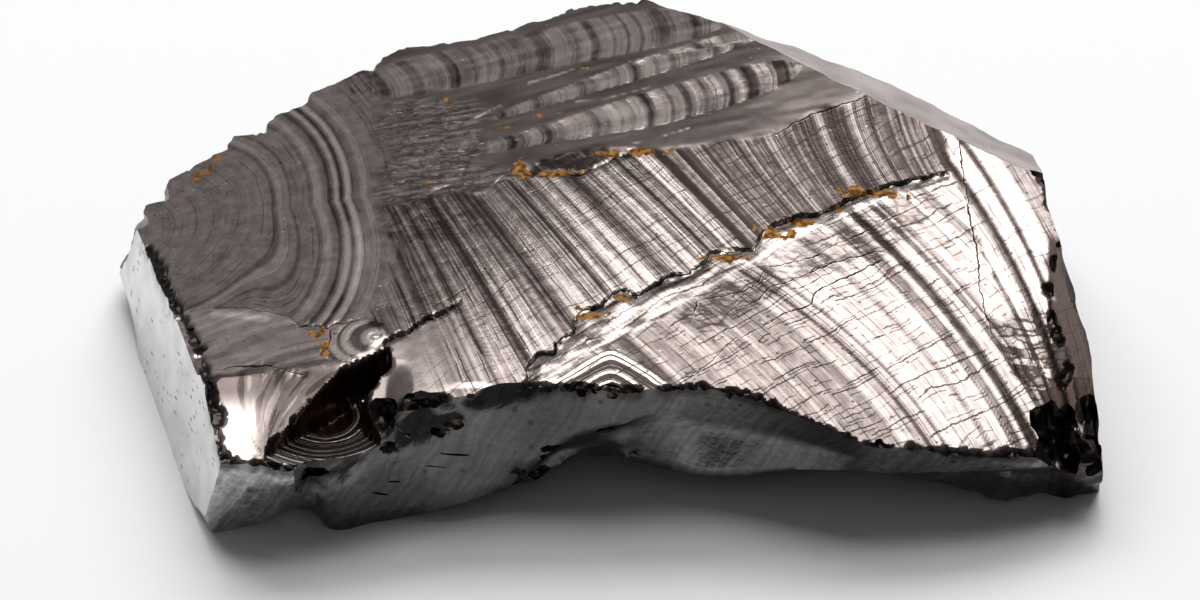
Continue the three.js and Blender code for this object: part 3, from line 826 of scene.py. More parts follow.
    def smooth_facet(self):
        """The facet to the right of the pocket, painted bright as light, with one arc across it."""
        (arc_x, arc_y), x, y = FACET_ARC["middle"], self.x, self.y
        clear = soft(beyond(CLEAR_FACET, [], x, y) + 0.12 * lumps(x, y, size=0.8, seed=37), 0.1)
        self.lift *= 1 - 0.7 * clear
        self.share["plate"] = self.share["plate"] * (1 - 0.85 * clear * soft(-9.8 - x, 1.2))
        off_arc = np.abs(np.hypot(x - arc_x, y - arc_y) - FACET_ARC["radius"])
        arc = 0.9 * soft(0.25 - off_arc, 0.12) * soft(x + 9.4, 1)
        self.veil += clear * (0.25 - 0.05 * (x + 13) + arc)
        self.calm = np.maximum(self.calm, 0.7 * clear)

    def cut_cracks(self):
        depth, self.crack = open_cracks(self.x, self.y)
        self.height -= depth

    def sink_pocket(self):
        """The pocket: flat steps round its middle and a steep brown wall behind them, its inside
        painted darker as shade.
        """
        (middle_x, middle_y), x, y = POCKET["middle"], self.x, self.y
        self.radius = np.hypot(x - middle_x, y - middle_y) + 0.05 * lumps(x, y, size=0.9, seed=33)
        self.outline_gap = distance(POCKET["outline"], x, y)
        inset = within(POCKET["outline"], x, y) * self.outline_gap
        inside = inset > 0
        ring_r, ring_z = np.array(POCKET["rings"], float).T
        floor_z = np.interp(self.radius, ring_r, ring_z)
        wall_z = self.height - POCKET["steep"] * inset
        on_wall = inside & (wall_z > floor_z)
        sunk = np.minimum(self.height, np.maximum(floor_z, wall_z))
        self.height = np.where(inside, sunk, self.height)
        self.steps = inside * (~on_wall) * soft(self.radius - POCKET["floor"], 0.15)
        self.pocket = inside * (1 - self.steps)
        self.lift = self.lift * (inset <= 0)
        self.lift += 0.8 * self.pocket * lumps(x + 0.3 * y, 0, size=0.15, seed=36)
        self.veil = np.where(inside, 0.12 * self.steps - 0.3, self.veil)

    def crumble_rims(self):
        """Crumbs lost along every rim; the finishes paint them dark as shade."""
        x, y = self.x, self.y
        gap = np.minimum(rim_gap(x, y), np.abs(self.outline_gap) + 0.3)
        reach = 0.24 + 0.3 * lumps(x, y, size=1.1, seed=41) + 0.22 * lumps(x, y, size=0.45, seed=43)
        self.crumble = soft(reach - gap, 0.12)
        self.height -= self.crumble * (0.08 + 0.3 * chipped(x, y, size=0.45, seed=42))

    def roughen_wedge(self):
        """The dark wedge behind the seam, and the faint unevenness of the whole top."""
        x, y = self.x, self.y
        wedge = soft(beyond(WEDGE, [], x, y) + 0.25 * lumps(x, y, size=0.6, seed=56), 0.15)
        self.lift *= 1 - 0.7 * wedge
        self.veil -= wedge * (0.45 + 0.8 * soft(lumps(x, y, size=0.5, seed=57), 0.2))
        self.height += 0.0015 * lumps(x, y, size=0.5, seed=44)

    def shatter_patches(self):
        """Where the top is broken into blocks: by the right end, at the left and in strips."""
        (cross_x, cross_y), (half_x, half_y) = CROSSED
        x, y = self.x, self.y
        blocks = soft(beyond(BRECCIA, [], x, y) + 0.5 * lumps(x, y, size=1.2, seed=53), 0.4)
        crossed = soft(1 - np.hypot((x - cross_x) / half_x, (y - cross_y) / half_y), 0.5)
        strips = soft(beyond(STRIPS, [], x, y) + 0.4 * lumps(x, y, size=1.4, seed=58), 0.4)
        strips = strips * self.share["apron"]
        self.veil -= 0.35 * blocks + 0.05 * crossed + 0.2 * strips
        self.shatter = np.maximum(blocks, np.maximum(0.35 * crossed, 0.4 * strips))

    def tear_right_end(self):
        """The hollow along the right end, painted black as shade, and the brown lump that hangs over
        it, painted darker as shade.
        """
        x, y = self.x, self.y
        lump = soft(beyond(NODULE, [], x, y), 0.2)
        inside = x - RIGHT_END["top"] + 0.4 * lumps(x, y, size=0.9, seed=54)
        hollow = soft(inside, 0.35) * soft(RIGHT_END["hollow_back"] - y, 0.8)
        self.veil -= 1.5 * hollow + 0.9 * lump
        self.pocket = np.maximum(self.pocket, 0.35 * lump)

    def settle_rust(self):
        """A film of ochre, ragged at its edge."""
        x, y = self.x, self.y
        self.rust = np.zeros(np.shape(x))
        ragged = 0.7 * lumps(x, y, size=0.45, seed=51) + 0.35 * lumps(x, y, size=0.2, seed=52) - 0.25
        for (middle_x, middle_y), (half_x, half_y) in RUST:
            out = np.hypot((x - middle_x) / half_x, (y - middle_y) / half_y)
            self.rust = np.maximum(self.rust, soft(1 - out + ragged, 0.15))


# ------------------------------------------------------------------ closed cutters

def piece_of(name, points, faces, material):
    """A new mesh object of one material."""
    mesh = bpy.data.meshes.new(name)
    mesh.from_pydata(points, [], faces)
    mesh.materials.append(material)
    made = bpy.data.objects.new(name, mesh)
    bpy.context.collection.objects.link(made)
    return made


def grid_faces(rows, columns):
    """Four-cornered faces over a grid of points, laid row after row."""
    start = (np.arange(rows - 1)[:, None] * columns + np.arange(columns - 1)).ravel()
    return np.stack([start, start + columns, start + columns + 1, start + 1], 1).tolist()


def slab(name, xs, ys, relief, material, place=None):
    """A closed block whose underside is z = relief(x, y) and whose lid is flat at REACH."""
    x, y = np.meshgrid(xs, ys)
    sheet = np.stack([x, y, relief(x, y)], -1).reshape(-1, 3)
    rows, columns = len(ys), len(xs)
    index = np.arange(rows * columns).reshape(rows, columns)
    edge = np.concatenate([index[0, :-1], index[:-1, -1], index[-1, :0:-1], index[:0:-1, 0]])
    lid = sheet[edge].copy()
    lid[:, 2] = REACH
    points = np.concatenate([sheet, lid])
    faces = grid_faces(rows, columns)
    count, first = len(edge), len(sheet)
    for i in range(count):
        j = (i + 1) % count
        faces.append([int(edge[i]), int(edge[j]), first + j, first + i])
    faces.append([first + i for i in range(count)])
    if place:
        points = place(points)
    return piece_of(name, points.tolist(), faces, material)


def skin(name, loops, material):
    """A closed solid through a row of loops with equal counts of points."""
    count = len(loops[0])
    faces = []
    for base in range(0, (len(loops) - 1) * count, count):
        for i in range(count):
            j = (i + 1) % count
            faces.append([base + i, base + j, base + j + count, base + i + count])
    last = (len(loops) - 1) * count
    faces.append(list(range(count))[::-1])
    faces.append(list(range(last, last + count)))
    points = [list(p) for loop in loops for p in loop]
    return piece_of(name, points, faces, material)


def scoop(name, at, size, material, uneven, detail, turn=None):
    """A lumpy, faceted ball that bites a hollow. Its place seeds its shape."""
    ball = bmesh.new()
    bmesh.ops.create_icosphere(ball, subdivisions=detail, radius=1)
    unit = np.array([v.co for v in ball.verts])
    faces = [[v.index for v in f.verts] for f in ball.faces]
    ball.free()
    seed = int(abs(at[0] * 13 + at[1] * 7 + at[2] * 3))
    facets = chipped(*(unit.T * 2.6), 1, seed) - 0.5
    unit = unit * (1 + uneven * (lumps(*(unit.T * 2.2), 1, seed) + 1.2 * facets))[:, None]
    points = unit * np.array(size)
    if turn:
        points = points @ np.array(turn.to_matrix()).T
    return piece_of(name, (points + np.array(at)).tolist(), faces, material)


def through(stations, values, x):
    """A smooth curve through values at rising stations."""
    stations, values = np.array(stations, float), np.array(values, float)
    slopes = np.gradient(values, stations)
    i = np.clip(np.searchsorted(stations, x) - 1, 0, len(stations) - 2)
    span = stations[i + 1] - stations[i]
    t = np.clip((x - stations[i]) / span, 0, 1)
    return (
        (1 + 2 * t) * (1 - t) ** 2 * values[i] + t * (1 - t) ** 2 * span * slopes[i]
        + t * t * (3 - 2 * t) * values[i + 1] + t * t * (t - 1) * span * slopes[i + 1]
    )


# ------------------------------------------------------------------ breaking the stone out

def blank(material):
    """Upright walls, with the chipped rim leaning out towards its foot."""
    plan = []
    corners = CHIPPED_RIM + UNCUT_PLAN
    for i, (start, end) in enumerate(zip(corners, corners[1:] + corners[:1])):
        gap = math.dist(start[:2], end[:2])
        parts = max(1, round(gap / WALL_STEP)) if i < len(CHIPPED_RIM) - 1 else 1
        for k in range(parts):
            plan.append([a + (b - a) * k / parts for a, b in zip(start, end)])
    x, y, flare = np.array(plan[::-1]).T
    dx, dy = x - PLAN_MIDDLE[0], y - PLAN_MIDDLE[1]
    loops = []
    for z in [*np.arange(0, UPRIGHT, WALL_STEP), BLANK_TOP]:
        lean = 1 + flare * (1 - z / crown(x, y)) / np.hypot(dx, dy)
        lean -= 0.02 * np.minimum(flare, 1) * chipped(x, y, z, 1.3, 61)
        lean += 0.006 * np.minimum(flare, 1) * lumps(x, y, z, 0.7, 62)
        loops.append(
            np.stack([PLAN_MIDDLE[0] + dx * lean, PLAN_MIDDLE[1] + dy * lean, 0 * x + z], 1)
        )
    return skin("blank", loops, material)


def fracture(name, at, facing, bow, burst, material):
    """Breaks away everything in front of one bowed and rippled sheet."""
    uneven = SMOOTH_FACES.get(name, 1)
    seed = len(name) * 3

    def relief(x, y):
        r = np.hypot(x - burst[0], y - burst[1])
        ripple = RIPPLE["swell"] * np.cos(2 * math.pi * r / RIPPLE["wave"])
        bent = r + 0.5 * lumps(x, y, size=3, seed=seed)
        fine = RIPPLE["fine_swell"] * np.cos(2 * math.pi * bent / RIPPLE["fine_wave"])
        torn = 0.16 * lumps(x, y, size=2.4, seed=seed + 1)
        torn = torn + 0.05 * lumps(x, y, size=0.8, seed=seed + 2)
        shells = 0.22 * chipped(x, y, size=3.4, seed=seed + 3)
        bowed = bow * -(x * x + y * y) / 100
        return bowed + ripple * uneven + fine + uneven * (torn + shells)

    spread = np.arange(-FACE_HALF, FACE_HALF + 0.01, FACE_STEP)
    turn = Vector((0, 0, 1)).rotation_difference(Vector(facing).normalized())
    matrix = np.array(turn.to_matrix())
    return slab(name, spread, spread, relief, material, lambda p: p @ matrix.T + np.array(at))


def front_break(material):
    """Breaks away everything in front of the front's profiles."""
    place = [s[0] for s in FRONT]
    x = np.arange(place[0], place[-1] + 0.01, WALL_STEP)
    rim, foot = (through(place, [s[k] for s in FRONT], x) for k in (1, 4))
    brow_y, brow_z = (through(place, [s[2][k] for s in FRONT], x) for k in (0, 1))
    chin_y, chin_z = (through(place, [s[3][k] for s in FRONT], x) for k in (0, 1))
    lip_z = crown(x, rim) + 0.3
    ys, zs = [], []
    spans = [
        (foot, 0 * x, chin_y, chin_z, 6), (chin_y, chin_z, brow_y, brow_z, 9),
        (brow_y, brow_z, rim, lip_z, 10),
    ]
    for y0, z0, y1, z1, parts in spans:
        for k in range(parts):
            ys.append(y0 + (y1 - y0) * k / parts)
            zs.append(z0 + (z1 - z0) * k / parts)
    y, z = np.array([*ys, rim]), np.array([*zs, lip_z])
    # Round the creases of the profile, as a shell-shaped break has none.
    y[1:-1] = (y[:-2] + 2 * y[1:-1] + y[2:]) / 4
    y += front_relief(np.broadcast_to(x, y.shape), z)
    loops = []
    for i in range(len(x)):
        profile = [(-REACH, BLANK_TOP + 1), (-REACH, -1), (y[0, i], -1)]
        profile += list(zip(y[:, i], z[:, i])) + [(y[-1, i], BLANK_TOP + 1)]
        loops.append([(x[i], py, pz) for py, pz in profile])
    return skin("front", loops, material)


def front_relief(x, z):
    """Two smooth shells, with torn ground between and beside them."""
    left_top = np.interp(x, [-17, -14, -10, -8, -5, 0], [3.2, 5.7, 6.3, 7.8, 8.2, 9.5])
    ridge = np.interp(
        x, [-7, -6.3, -4.2, -1.7, 1.6, 4.2, 6.4, 7], [-1, 0.8, 2.8, 4.9, 5.8, 6.7, 7.5, 9]
    )
    left_shell = soft(x + 17.5, 0.4) * soft(left_top - z, 0.4) * soft(z - ridge, 0.3)
    right_foot = np.interp(x, [4, 16, 19, 30], [0.6, 0.6, 3, 3.7])
    right_shell = soft(x - 1.5 - 0.3 * z, 0.6) * soft(z - right_foot, 0.3)
    toe = soft(-18.9 - x, 0.3)
    torn = 1 - 0.97 * np.clip(left_shell + right_shell + toe, 0, 1)
    rough = 0.6 * chipped(x, z, size=1.3, seed=71) + 0.12 * lumps(x, z, size=0.6, seed=72)
    depth = torn * rough
    depth += 0.012 * np.cos(np.hypot(x + 19, z - 1) * 2.6) * left_shell
    depth += 0.012 * lumps(x - z, 0.25 * (x + z), size=0.55, seed=74) * right_shell
    return depth + (0.02 + 0.1 * torn) * lumps(x, z, size=2.6, seed=73)


def painted_sheen_of_front(x, z):
    """How silvery each facet of the front is painted, from 0 to 1: painted light and shade."""
    painted_sheen = np.interp(
        x, [-18.7, -18.6, -18.4, -18.3, -16, 2, 6, 30, 30.3],
        [0.52, 0, 0, 0.1, 0.11, 0.07, 0.14, 0.13, 0.04],
    )
    foot = np.interp(x, [16, 19, 30], [1.5, 3.2, 3.9])
    thin_strip = soft(x - 17, 0.8) * soft(z - foot, 0.15)
    return painted_sheen + 0.35 * thin_strip * soft(28.5 - x, 0.5)


def on_fin(x, y, z):
    """1 on the fin in the right end's hollow, where a highlight is painted."""
    (root_x, root_y, root_z), (run_x, run_y, run_z) = FIN["root"], FIN["run"]
    t = np.clip((y - root_y) / run_y, 0, 1)
    beside = np.hypot(x - root_x - run_x * t, z - root_z - run_z * t)
    past_end = 0.5 * np.abs(y - root_y - run_y * t)
    return soft(0.5 - beside - past_end, 0.15)


def rim_chips(material):
    """Small flakes lost along the rims."""
    dice = np.random.default_rng(7)
    chips = []

    def flake(x, y, z, size):
        name = f"chip {len(chips)}"
        spin = Quaternion((0, 0, 1), dice.uniform(0, 3))
        tilt = Quaternion((1, 0, 0), dice.uniform(-1, 1))
        chips.append(scoop(name, (x, y, z), size, material, 0.2, 1, spin @ tilt))

    for x in np.arange(-23, 31, FRONT_CHIP_STEP):
        x += dice.uniform(-0.5, 0.5)
        y = float(front_rim(x)) - 0.25
        size = dice.uniform(0.15, 0.46, 3) * (1 + 0.7 * (dice.random() > 0.85))
        flake(x, y, float(crown(x, y)) + dice.uniform(-0.5, 0.2), size)
    for rim, _, count in RIMS:
        lengths = np.cumsum([0] + [math.dist(a, b) for a, b in zip(rim, rim[1:])])
        for s in dice.uniform(0.5, lengths[-1] - 0.5, count):
            x = float(np.interp(s, lengths, [p[0] for p in rim]))
            y = float(np.interp(s, lengths, [p[1] for p in rim]))
            size = dice.uniform(0.12, 0.38, 3)
            flake(x, y, float(crown(x, y)) + dice.uniform(-0.1, 0.25), size)
    return chips


def front_slits(material):
    """The scars of the thin flakes."""
    slits = []
    for i, (at, half, dip) in enumerate(SLITS):
        turn = Quaternion((0, 1, 0), math.radians(dip))
        size = (0.75 * half, 0.22, 0.08)
        slits.append(scoop(f"slit {i}", at, size, material, 0.2, 3, turn))
    return slits


def top_break(material):
    """The rippled top: everything above it comes away."""
    xs, ys = (np.arange(low, high, step) for (low, high), step in zip(TOP_SPAN, TOP_STEP))
    return slab("top", xs, ys, lambda x, y: Top(x, y).height, material)


def break_out(finish):
    """Cuts the blank in turn, the finest sheet last."""
    plain, torn = finish["plain"], finish["torn"]
    stone = blank(plain)
    cuts = rim_chips(torn) + front_slits(torn)
    for i, (at, size, uneven) in enumerate(BITES):
        made_of, detail = (plain, 5) if uneven == SHELL else (torn, 4 if max(size) > 1.2 else 3)
        cuts.append(scoop(f"bite {i}", at, size, made_of, uneven, detail))
    for i, (at, size) in enumerate(FLAKE_SCARS):
        cuts.append(scoop(f"flake scar {i}", at, size, plain, 0.01, 5))
    for name, (at, facing, bow, burst) in FACES.items():
        cuts.append(fracture(name, at, facing, bow, burst, finish.get(name, plain)))
    cuts += [front_break(plain), top_break(finish["top"])]
    for cut in cuts:
        step = stone.modifiers.new(cut.name, "BOOLEAN")
        step.object, step.operation, step.solver = cut, "DIFFERENCE", "MANIFOLD"
        step.material_mode = "TRANSFER"
    shaped = stone.evaluated_get(bpy.context.evaluated_depsgraph_get())
    mesh = bpy.data.meshes.new_from_object(shaped)
    for gone in (stone, *cuts):
        bpy.data.objects.remove(gone)
    return mesh


def joined_part(left):
    """Takes one point, and all that is joined to it, out of the points left."""
    start = left.pop()
    part, queue = [start], [start]
    while queue:
        near = {v for edge in queue.pop().link_edges for v in edge.verts if v in left}
        left -= near
        part += near
        queue += near
    return part


def largest_part(mesh):
    """Drops the loose crumbs that the cuts leave."""
    crumbs = bmesh.new()
    crumbs.from_mesh(mesh)
    left = set(crumbs.verts)
    parts = []
    while left:
        parts.append(joined_part(left))
    parts.sort(key=len)
    bmesh.ops.delete(crumbs, geom=[v for p in parts[:-1] for v in p], context="VERTS")
    crumbs.to_mesh(mesh)
    crumbs.free()


def store(mesh, name, values):
    """Keeps one number, or a row of three, for each point of the mesh."""
    values = np.asarray(values, np.float32)
    kind = "FLOAT" if values.ndim == 1 else "FLOAT_VECTOR"
    field = "value" if values.ndim == 1 else "vector"
    mesh.attributes.new(name, kind, "POINT").data.foreach_set(field, values.T.ravel())


def painted_sheen_at(x, y, z):
    """The painted sheen of the sides: below zero along the right end, and past 1 on its fin."""
    painted_sheen = painted_sheen_of_front(x, z) * soft(-5 - y, 2) + 0.11 * soft(y + 5, 2)
    end = soft(x - RIGHT_END["side"], 0.3) * soft(RIGHT_END["back"] - y, 0.8)
    of_end = END_FRONT + (END_BACK - END_FRONT) * soft(y - RIGHT_END["brown"], 0.6)
    return painted_sheen * (1 - end) + of_end * end + 2.5 * on_fin(x, y, z)


def mark_finish(mesh):
    """Writes what the finishes read, while the points are still in plan millimetres."""
    points = np.zeros(len(mesh.vertices) * 3)
    mesh.vertices.foreach_get("co", points)
    x, y, z = points.reshape(-1, 3).T
    top = Top(x, y)
    ring, share = top.rings, top.share
    store(mesh, "rings_left", [ring["fan"], ring["plate"], ring["apron"]])
    store(mesh, "rings_right", [ring["shear"], ring["flutes"], top.folds])
    store(mesh, "share_left", [share["fan"], share["plate"], share["apron"]])
    store(mesh, "share_right", [share["shear"], share["flutes"] * top.glow, top.shatter])
    store(mesh, "crack", top.crack)
    store(mesh, "pocket_steps", [top.radius, top.steps, 0 * x])
    store(mesh, "painted_sheen", painted_sheen_at(x, y, z))
    # The crumbled rims' mask, which the finishes paint dark as shade and shade flat.
    near_top = soft(z - top.height + 0.5, 0.3)
    store(mesh, "crumble", top.crumble * (near_top * (1 - 0.4 * soft(x - 28.3, 0.4))))
    store(mesh, "hackle", share["hackle"])
    for name in ("lift", "veil", "pocket", "rust", "calm", "hairpin"):
        store(mesh, name, getattr(top, name))


def shade_facets(mesh):
    """Smooth shading, but for the torn hollows and the crumbled rims, whose facets stay flat."""
    count = len(mesh.polygons)
    first, finish = np.zeros(count, int), np.zeros(count, int)
    mesh.polygons.foreach_get("loop_start", first)
    mesh.polygons.foreach_get("material_index", finish)
    corner = np.zeros(len(mesh.loops), int)
    mesh.loops.foreach_get("vertex_index", corner)
    crumble = np.zeros(len(mesh.vertices))
    mesh.attributes["crumble"].data.foreach_get("value", crumble)
    torn = mesh.materials.find("torn edge")
    top = mesh.materials.find("rippled break")
    flat = (finish == torn) | ((finish == top) & (crumble[corner[first]] > 0.6))
    mesh.polygons.foreach_set("use_smooth", ~flat)
    mesh.set_sharp_from_angle(angle=math.radians(34))


def trim_to_solid(mesh):
    """Puts the finished mesh, in metres, exactly in the solid's box."""
    points = np.zeros(len(mesh.vertices) * 3)
    mesh.vertices.foreach_get("co", points)
    points = points.reshape(-1, 3)
    low, high = (np.array(c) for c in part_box("stone"))
    span = np.ptp(points, 0)
    points = low + (points - points.min(0)) / span * (high - low)
    mesh.vertices.foreach_set("co", points.astype(np.float32).ravel())
    mesh.update()


# ------------------------------------------------------------------ tools for the finishes

# Colours, as linear light.
PAINT = dict(
    painted_ripple_shadow=(0.039, 0.028, 0.025), painted_ripple_silver=(0.6, 0.515, 0.485),
    painted_glint_white=(0.95, 0.93, 0.92), painted_crack_shade=(0.014, 0.012, 0.011),
    pocket_dark=(0.03, 0.013, 0.01), pocket_brown=(0.16, 0.075, 0.055),
    stain_thin=(0.12, 0.05, 0.018), stain_ochre=(0.52, 0.265, 0.075),
    torn_painted_shade=(0.016, 0.014, 0.013), torn_brown=(0.12, 0.095, 0.085),
    hollow_brown=(0.12, 0.096, 0.086), fin_painted_highlight=(0.55, 0.5, 0.47),
    shoulder_painted_dark=(0.26, 0.2, 0.19), shoulder_pale=(0.47, 0.37, 0.355),
    plain_painted_dark=(0.06, 0.058, 0.057), plain_painted_silver=(0.92, 0.91, 0.9),
    end_painted_shade=(0.045, 0.036, 0.033), end_brown=(0.11, 0.092, 0.085),
    hatch_grey=(0.055, 0.053, 0.052), scored_grey=(0.05, 0.048, 0.047),
    drawn_grey=(0.07, 0.067, 0.065), scrape_black=(0.03, 0.028, 0.027),
    painted_crumb_shade=(0.03, 0.027, 0.026), mirror_painted_grey=(0.64, 0.645, 0.648),
    mirror_pale=(0.8, 0.805, 0.81), pit_grey=(0.09, 0.09, 0.09),
    painted_mirror_crumb_shade=(0.07, 0.066, 0.064), floor_white=(0.94, 0.94, 0.94),
)


class Finish:
    """The nodes of a material or a group, with short ways to place and join them."""

    def __init__(self, tree):
        self.tree = tree

    def add(self, kind, **settings):
        node = self.tree.nodes.new(kind)
        for key, value in settings.items():
            setattr(node, key, value)
        return node

    def put(self, socket, value):
        """Joins a socket, or sets it to a number, a vector or one of the named colours."""
        if isinstance(value, bpy.types.NodeSocket):
            self.tree.links.new(value, socket)
        elif isinstance(value, str):
            socket.default_value = (*PAINT[value], 1)
        else:
            socket.default_value = value

    def calc(self, operation, *values):
        node = self.add("ShaderNodeMath", operation=operation)
        for socket, value in zip(node.inputs, values):
            self.put(socket, value)
        return node.outputs[0]

    def chain(self, operation, values):
        total = values[0]
        for value in values[1:]:
            total = self.calc(operation, total, value)
        return total

    def plus(self, *values):
        return self.chain("ADD", values)

    def minus(self, value, taken):
        return self.calc("SUBTRACT", value, taken)

    def times(self, *values):
        return self.chain("MULTIPLY", values)

    def larger(self, *values):
        return self.chain("MAXIMUM", values)

    def blend(self, amount, a, b):
        node = self.add("ShaderNodeMix", data_type="RGBA")
        self.put(node.inputs["Factor"], amount)
        for socket, value in ((node.inputs[6], a), (node.inputs[7], b)):
            self.put(socket, value)
        return node.outputs[2]

    def ramp(self, value, *stops):
        """A smooth change: the two ends of it, and what the value is at each."""
        node = self.add("ShaderNodeMapRange", interpolation_type="SMOOTHSTEP")
        self.put(node.inputs["Value"], value)
        for name, number in zip(("From Min", "From Max", "To Min", "To Max"), stops):
            self.put(node.inputs[name], number)
        return node.outputs[0]

    def noise(self, scale, detail, vector=None, along=None, rough=0.5):
        """Cloudy noise from 0 to 1, over a place or along one number."""
        if along is None:
            node = self.add("ShaderNodeTexNoise", noise_dimensions="3D")
            self.put(node.inputs["Vector"], vector)
        else:
            node = self.add("ShaderNodeTexNoise", noise_dimensions="1D")
            self.put(node.inputs["W"], along)
        node.inputs["Scale"].default_value = scale
        node.inputs["Detail"].default_value = detail
        node.inputs["Roughness"].default_value = rough
        return node.outputs["Fac"]

    def cells(self, place, scale, **settings):
        """Cells round scattered points."""
        node = self.add("ShaderNodeTexVoronoi", **settings)
        self.put(node.inputs["Vector"], place)
        self.put(node.inputs["Scale"], scale)
        return node.outputs

    def picks(self, colour):
        """Three unrelated numbers out of a cell's colour."""
        node = self.add("ShaderNodeSeparateColor")
        self.put(node.inputs[0], colour)
        return node.outputs

    def hairlines(self, place, spacing, width):
        """Thin lines one to a cell along a coordinate, and the number of the cell."""
        scaled = self.times(place, 1 / spacing)
        cell = self.calc("FLOOR", scaled)
        dice = self.add("ShaderNodeTexWhiteNoise", noise_dimensions="1D")
        self.put(dice.inputs["W"], cell)
        at = self.ramp(dice.outputs["Value"], 0, 1, 0.15, 0.85)
        gap = self.calc("ABSOLUTE", self.minus(self.minus(scaled, cell), at))
        return self.ramp(gap, width / spacing / 3, width / spacing, 1, 0), cell

    def split(self, vector):
        node = self.add("ShaderNodeSeparateXYZ")
        self.put(node.inputs[0], vector)
        return list(node.outputs)

    def moved(self, place, by):
        node = self.add("ShaderNodeVectorMath", operation="ADD")
        self.put(node.inputs[0], place)
        self.put(node.inputs[1], by)
        return node.outputs[0]

    def read(self, name):
        return self.add("ShaderNodeAttribute", attribute_name=name).outputs["Fac"]

    def read_parts(self, name):
        return self.split(self.add("ShaderNodeAttribute", attribute_name=name).outputs["Vector"])

    def here(self, stretch=(1, 1, 1)):
        """Place on the object, in millimetres, stretched."""
        coordinates = self.add("ShaderNodeTexCoord").outputs["Object"]
        node = self.add("ShaderNodeVectorMath", operation="MULTIPLY")
        self.put(node.inputs[0], coordinates)
        node.inputs[1].default_value = [s / MM for s in stretch]
        return node.outputs[0]

    def shifted(self, cell):
        """Place on the object, moved far off for each cell, so that cells break apart."""
        move = self.add("ShaderNodeCombineXYZ")
        self.put(move.inputs[2], self.times(cell, CELL_SHIFT))
        return self.moved(self.here(), move.outputs[0])

    def group(self, made, **values):
        node = self.add("ShaderNodeGroup", node_tree=made)
        for name, value in values.items():
            self.put(node.inputs[name], value)
        return node.outputs


def effect(name, inputs, outputs):
    """An empty node group with named number or colour sockets."""
    tree = bpy.data.node_groups.new(name, "ShaderNodeTree")
    kinds = dict(number="NodeSocketFloat", colour="NodeSocketColor")
    for in_out, sockets in (("INPUT", inputs), ("OUTPUT", outputs)):
        for socket, kind in sockets.items():
            tree.interface.new_socket(name=socket, in_out=in_out, socket_type=kinds[kind])
    finish = Finish(tree)
    return finish, finish.add("NodeGroupInput").outputs, finish.add("NodeGroupOutput").inputs


def fine_ripples():
    """Painted light and shade for ripples too fine for the mesh, and dark hairlines, along one field's
    rings.
    """
    f, given, out = effect(
        "Fine ripples", dict(Ring="number", Share="number"),
        dict(Tone="number", Line="number"),
    )
    broad = f.noise(1.3, 1.0, along=given["Ring"])
    fine = f.noise(4.2, 2.0, along=given["Ring"], rough=0.65)
    tone = f.plus(*(f.ramp(part, 0.4, 0.6, -0.5, 0.5) for part in (broad, fine)))
    f.put(out["Tone"], f.times(tone, given["Share"]))
    wander = f.times(f.noise(0.6, 2.0, f.here()), 0.3)
    line, cell = f.hairlines(f.plus(given["Ring"], wander), 0.8, 0.05)
    broken = f.ramp(f.noise(0.35, 2.0, f.shifted(cell)), 0.4, 0.6, 0, 1)
    f.put(out["Line"], f.times(line, broken, given["Share"]))
    return f.tree


def iron_stain():
    """Ochre where iron has settled, darker brown at its thin edge."""
    f, given, out = effect(
        "Iron stain", dict(Amount="number"), dict(Mask="number", Colour="colour")
    )
    grain = f.noise(2.6, 4.0, f.here())
    thick = f.plus(given["Amount"], f.times(grain, 0.5))
    f.put(out["Mask"], f.ramp(thick, 0.55, 0.95, 0, 1))
    f.put(out["Colour"], f.blend(f.ramp(grain, 0.35, 0.65, 0, 1), "stain_thin", "stain_ochre"))
    return f.tree


def cross_cracks():
    """Hair cracks that run across the ripples, side by side, and break off here and there."""
    f, given, out = effect("Cross cracks", dict(Amount="number"), dict(Mask="number"))
    east, north, _ = f.split(f.here())
    wander = f.times(f.noise(0.2, 1.0, f.here()), 2.0)
    wander = f.plus(wander, f.times(f.noise(1.6, 3.0, f.here(), rough=0.7), 0.45))
    across = f.plus(f.minus(f.times(north, 0.82), f.times(east, 0.57)), wander)
    total = 0.0
    for spacing, width, share, reach in HAIR_CRACKS:
        line, cell = f.hairlines(across, spacing, width)
        patch = f.ramp(f.noise(reach, 2.0, f.shifted(cell)), 0.48, 0.53, 0, share)
        total = f.larger(total, f.times(line, patch))
    f.put(out["Mask"], f.times(total, given["Amount"]))
    return f.tree


def shattered_blocks():
    """Small angular blocks, each of its own tone, between dark cracks."""
    f, given, out = effect(
        "Shattered blocks", dict(Amount="number"), dict(Mask="number", Tone="number")
    )
    wander = f.times(f.noise(1.2, 3.0, f.here(), rough=0.7), 0.9)
    place = f.moved(f.here((0.7, 1.9, 1)), wander)
    to_edge = f.cells(place, 0.9, feature="DISTANCE_TO_EDGE")["Distance"]
    own = f.picks(f.cells(place, 0.9)["Color"])[0]
    f.put(out["Mask"], f.times(f.ramp(to_edge, 0.02, 0.16, 0.9, 0), given["Amount"]))
    f.put(out["Tone"], f.times(f.minus(own, 0.5), given["Amount"]))
    return f.tree


def torn_strands():
    """Fine torn strands along X, with a painted glint on one here and there."""
    f, given, out = effect("Torn strands", dict(Amount="number"), dict(Tone="number"))
    wander = f.times(f.noise(0.45, 3.0, f.here(), rough=0.6), 4.5)
    strands = f.noise(1.0, 4.0, f.moved(f.here((0.5, 3.2, 1)), wander), rough=0.6)
    painted_glints = f.noise(1.0, 3.0, f.here((0.9, 5, 1)), rough=0.6)
    tone = f.plus(f.ramp(strands, 0.36, 0.64, -0.27, 0.27), f.ramp(painted_glints, 0.64, 0.74, 0, 0.6))
    f.put(out["Tone"], f.times(tone, given["Amount"]))
    return f.tree


